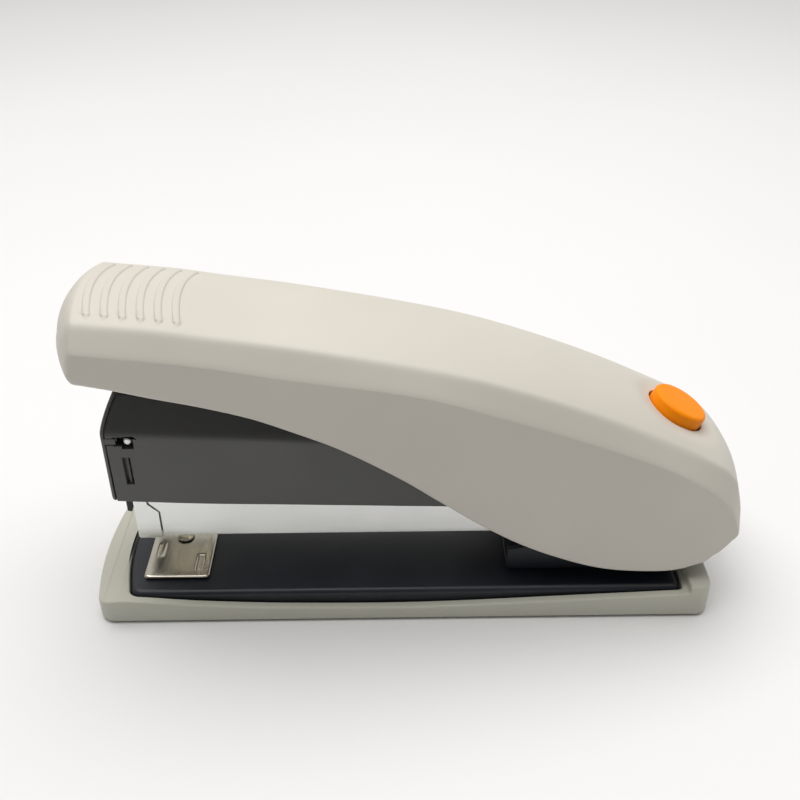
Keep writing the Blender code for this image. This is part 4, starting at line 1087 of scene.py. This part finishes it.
def add_spring(name, node, body, start, axis, length, radius, wire, turns):
    """Coil spring piece, with a mesh of its own."""
    bm = coil(start, axis, length, radius, wire, turns)
    spring = piece(name, bm, body, BRIGHT, (node,), smooth=60.0)
    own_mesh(spring)


def lift_coil():
    """Spring between the bracket and the head."""
    low = BRACKET_FLOOR + GAP
    add_spring("lift_coil", "return_spring", "base", (47.0, 0, low), (0, 0, 1),
               length=17.0 - low, radius=4.0, wire=0.5, turns=4)


def handle_coil():
    """Spring between the head and the handle."""
    web = FRAME_WEB_TOP + GAP
    add_spring("handle_coil", "handle_spring", "head", (26.5, 0, web), (0, 0, 1),
               length=51.0 - web, radius=3.6, wire=0.45, turns=6)


def pusher_coil():
    """Long spring on the pusher's rod."""
    add_spring("pusher_coil", "pusher_spring", "head", (31.7, 0, 30.0), (-1, 0, 0),
               length=55.4, radius=1.85, wire=0.3, turns=30)


def button_coil():
    """Spring between the button's flange and its guide."""
    seat = along_button(GUIDE_DEPTH - GUIDE_SHEET - GAP)
    room = GUIDE_DEPTH - GUIDE_SHEET - 2 * GAP - FLANGE_BOTTOM
    add_spring("button_coil", "button_spring", "handle", seat, BUTTON_AXIS,
               length=room, radius=3.2, wire=0.3, turns=3)


def springs():
    """Coil springs of the lift, the handle, the pusher and the button."""
    lift_coil()
    handle_coil()
    pusher_coil()
    button_coil()


def staples():
    """Strip of separate staples, each a bent wire with a rounded crown."""
    half, wire, high = STAPLE_HALF_WIDTH, STAPLE_WIRE, STAPLE_TOP
    low = CHANNEL_FLOOR + GAP
    corners = [
        (-half, low), (-half + wire, low), (-half + wire, high - wire), (half - wire, high - wire),
        (half - wire, low), (half, low), (half, high), (-half, high),
    ]
    section = fillet(corners, (0.1, 0.1, 0.15, 0.15, 0.1, 0.1, 0.6, 0.6), 4)
    strip = bmesh.new()
    x = STAPLE_FRONT
    while x + STAPLE_PITCH <= STAPLE_REAR + 0.01:
        one = lengthways(section, x + STAPLE_GAP, x + STAPLE_PITCH - STAPLE_GAP)
        mesh = bpy.data.meshes.new("staple")
        one.to_mesh(mesh)
        one.free()
        strip.from_mesh(mesh)
        bpy.data.meshes.remove(mesh)
        x += STAPLE_PITCH
    piece("staple_wires", strip, "drawer", STAPLES, ("staple_strip",))


# ---------------------------------------------------------------- pieces that keep the CAD shape

# Node: (name of the piece, body, finish, slot, width of the rounded edges)
REFINED = {
    "magazine_channel": ("channel_sheet", "drawer", CHANNEL_ZINC, "zinc_plated_steel", 0.16),
    "magazine_nose": ("nose_sheet", "drawer", CHANNEL_ZINC, "zinc_plated_steel", 0.16),
    "staple_rail": ("rail_sheet", "drawer", ZINC, "zinc_plated_steel", 0.12),
    "rear_bracket": ("bracket_sheet", "base", BLACK_STEEL, "black_painted_steel", 0.2),
    "head_frame": ("guide_sheet", "head", ZINC, "zinc_plated_steel", 0.1),
    "handle_frame": ("handle_sheet", "handle", ZINC, "zinc_plated_steel", 0.12),
    "driver_blade": ("blade_sheet", "driver", BRIGHT, "bright_steel", 0.08),
    "drive_lever": ("lever_sheet", "lever", BRIGHT, "bright_steel", 0.12),
    "latch_lever": ("latch_sheet", "latch", BRIGHT, "bright_steel", 0.12),
    "pusher": ("pusher_block", "pusher", BLACK_PLASTIC, "black_plastic", 0.15),
    "drawer_pull": ("pull_tab", "drawer", BLACK_PLASTIC, "black_plastic", 0.2),
}

# Finish: nodes that get it
KEPT = {
    RUBBER: ("foot_front_left", "foot_front_right", "foot_rear_left", "foot_rear_right"),
    NICKEL: ("anvil_pin",),
    BRIGHT: (
        "bracket_rivet_1", "bracket_rivet_2", "bracket_rivet_3", "bracket_rivet_4", "base_screw_front",
        "base_screw_rear", "hinge_pin", "anvil_spring", "drawer_hook", "pusher_rod", "rod_post_front",
        "rod_post_rear", "cap_pin_left", "cap_pin_right", "lever_bracket", "lever_pin", "spring_seat",
        "latch_pin", "drive_pin", "drive_ear_left", "drive_ear_right", "cam_pin", "button_guide",
    ),
}


def kept_nodes():
    """Give the CAD pieces that stay their finishes."""
    for finish, nodes in KEPT.items():
        for node in nodes:
            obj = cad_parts[node]
            obj.data.materials.clear()
            obj.data.materials.append(finish)


def refined_nodes():
    """Replace the CAD pieces in REFINED with copies that have rounded edges."""
    for node, (name, body, finish, slot, width) in REFINED.items():
        refined(node, name, body, finish, width)


# ---------------------------------------------------------------- assembly

camera()
studio()
handle_cover()
release_button()
head_housing()
nose_cap()
base_tray()
base_plate()
anvil()
springs()
staples()
refined_nodes()
kept_nodes()
